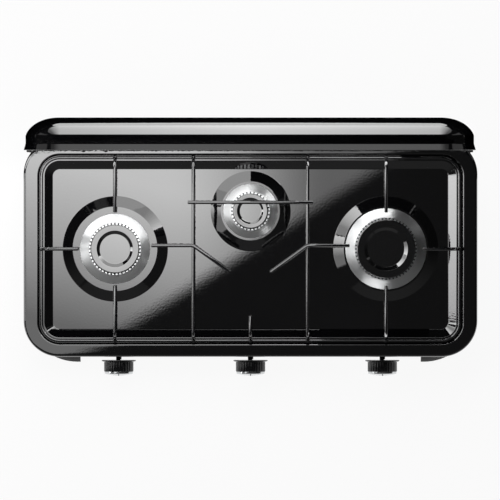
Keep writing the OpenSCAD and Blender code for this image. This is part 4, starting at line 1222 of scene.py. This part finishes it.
# %% Sheets behind, beside and before the hob
SCREEN_Y, STRIP_X, HEADER_X, LID_FRONT = 1.7, 1.3, 2.6, 0.139
falling_sheet(
    "rear_screen", "front", (2.54, 2.4), (0, SCREEN_Y, 1.205), (RIGHT, 0.0, 1.0, 5.6, 0.7),
    both_ways=True, round_edge=True,
)
falling_sheet(
    "rear_header", "front", (3.4, 0.85), (0, SCREEN_Y, 2.85), (RIGHT, 0.2, 1.3, 0.85, 0.2),
    both_ways=True,
)
falling_sheet(
    "left_strip", "right", (0.5, 0.265), (-STRIP_X, 0.0025, 0.69), (REAR, -0.12, 0.12, 3.4, 5.8)
)
falling_sheet(
    "rear_glow", "front", (0.38, 0.385), (-0.09, LID_FRONT, 0.3575), (RIGHT, -0.08, 0.1, 1.8, 5.0)
)
EVEN_SHEETS = [
    ("low_strip", "right", (0.16, 0.63), (-STRIP_X, -0.185, 0.28), 4.0),
    ("left_header", "right", (2.1, 1.1), (-HEADER_X, 1.65, 1.55), 0.3),
    ("right_header", "left", (2.1, 1.1), (HEADER_X, 1.65, 1.55), 0.3),
    ("corner_glow", "front", (0.18, 0.14), (-0.37, LID_FRONT, 0.43), 3.0),
    ("left_glow", "front", (0.2, 0.075), (-0.1, LID_FRONT, 0.1275), 2.4),
    ("head_glow", "front", (0.13, 0.034), (-0.265, LID_FRONT, 0.105), 5.0),
    ("right_glow", "front", (0.14, 0.037), (0.15, LID_FRONT, 0.1035), 5.0),
    ("side_glow", "front", (0.18, 0.09), (-0.42, LID_FRONT, 0.125), 5.0),
    ("front_glow", "rear", (0.11, 0.03), (0.15, -0.135, 0.102), 4.0, True),
    ("front_flag", "front", (0.55, 0.02), (-0.015, -0.1185, 0.071), 0.0),
]
for sheet in EVEN_SHEETS:
    light_sheet(*sheet)
print("even light sheets:", len(EVEN_SHEETS))

# %% [markdown]
# The ends of the lid would mirror the white floor behind the hob and the line where it ends. Black
# cards on the floor and two black wings beside the screen hide both from the lid, and a bright
# round apron at the screen's foot rounds off the highlight. Diffuse rays pass them, so that the
# floor stays evenly lit.

# %% Cards and wings
CARDS = [
    ("rear_apron", "up", (1.2, 1.84), (0, SCREEN_Y, 0.012), 3.0, True),
    ("rear_shade", "up", (2.4, 1.5), (0, 0.96, 0.01), 0.0),
    ("left_shade", "up", (29.6, 1.6), (-15.16, 0.9, 0.008), 0.0),
    ("right_shade", "up", (29.6, 1.6), (15.16, 0.9, 0.008), 0.0),
    ("left_wing", "front", (6.6, 0.36), (-3.9, 1.72, 0.19), 0.0),
    ("right_wing", "front", (6.6, 0.36), (3.9, 1.72, 0.19), 0.0),
]
for card in CARDS:
    light_sheet(*card)[0].visible_diffuse = False
print("cards and wings:", len(CARDS))

# %% [markdown]
# The surroundings are a dim studio that is a little brighter to the front, where the room is
# open, so that metal shows a light and a dark side. The world's Generated coordinate is the
# direction of a ray, and its dot product with a vector tells how far the ray points that way. It
# is dark straight above, for the black half of the plate. The camera itself sees plain white.

# %% Surroundings
REAR_ROOM, FRONT_ROOM, OVERHEAD = 0.015, 0.12, 0.03
world = bpy.data.worlds.new("studio")
scene.world = world
world.use_nodes = True
tree = world.node_tree
tree.nodes.clear()
ray = add(tree, "ShaderNodeTexCoord", {}).outputs["Generated"]
bright_side = (0, -1, 0)
facing = add(tree, "ShaderNodeVectorMath", {0: ray, 1: bright_side}, operation="DOT_PRODUCT")
studio = add(
    tree, "ShaderNodeMapRange",
    {"Value": facing.outputs["Value"], "From Min": -0.1, "From Max": 0.8,
     "To Min": REAR_ROOM, "To Max": FRONT_ROOM},
    interpolation_type="SMOOTHSTEP",
)
height = add(tree, "ShaderNodeSeparateXYZ", {"Vector": ray})
overhead_dark = add(
    tree, "ShaderNodeMapRange",
    {"Value": height.outputs["Z"], "From Min": 0.86, "From Max": 0.97,
     "To Min": 1.0, "To Max": OVERHEAD},
    interpolation_type="SMOOTHSTEP",
)
glow = add(
    tree, "ShaderNodeMath",
    {0: studio.outputs["Result"], 1: overhead_dark.outputs["Result"]}, operation="MULTIPLY",
)
dim = add(
    tree, "ShaderNodeBackground", {"Color": (1, 1, 1, 1), "Strength": glow.outputs[0]}
)
clear = add(tree, "ShaderNodeBackground", {"Color": (1, 1, 1, 1), "Strength": 1.0})
eye = add(tree, "ShaderNodeLightPath", {}).outputs["Is Camera Ray"]
sky = add(
    tree, "ShaderNodeMixShader",
    {0: eye, 1: dim.outputs["Background"], 2: clear.outputs["Background"]},
)
add(tree, "ShaderNodeOutputWorld", {"Surface": sky.outputs["Shader"]})
print("room, rear to front:", REAR_ROOM, "to", FRONT_ROOM)
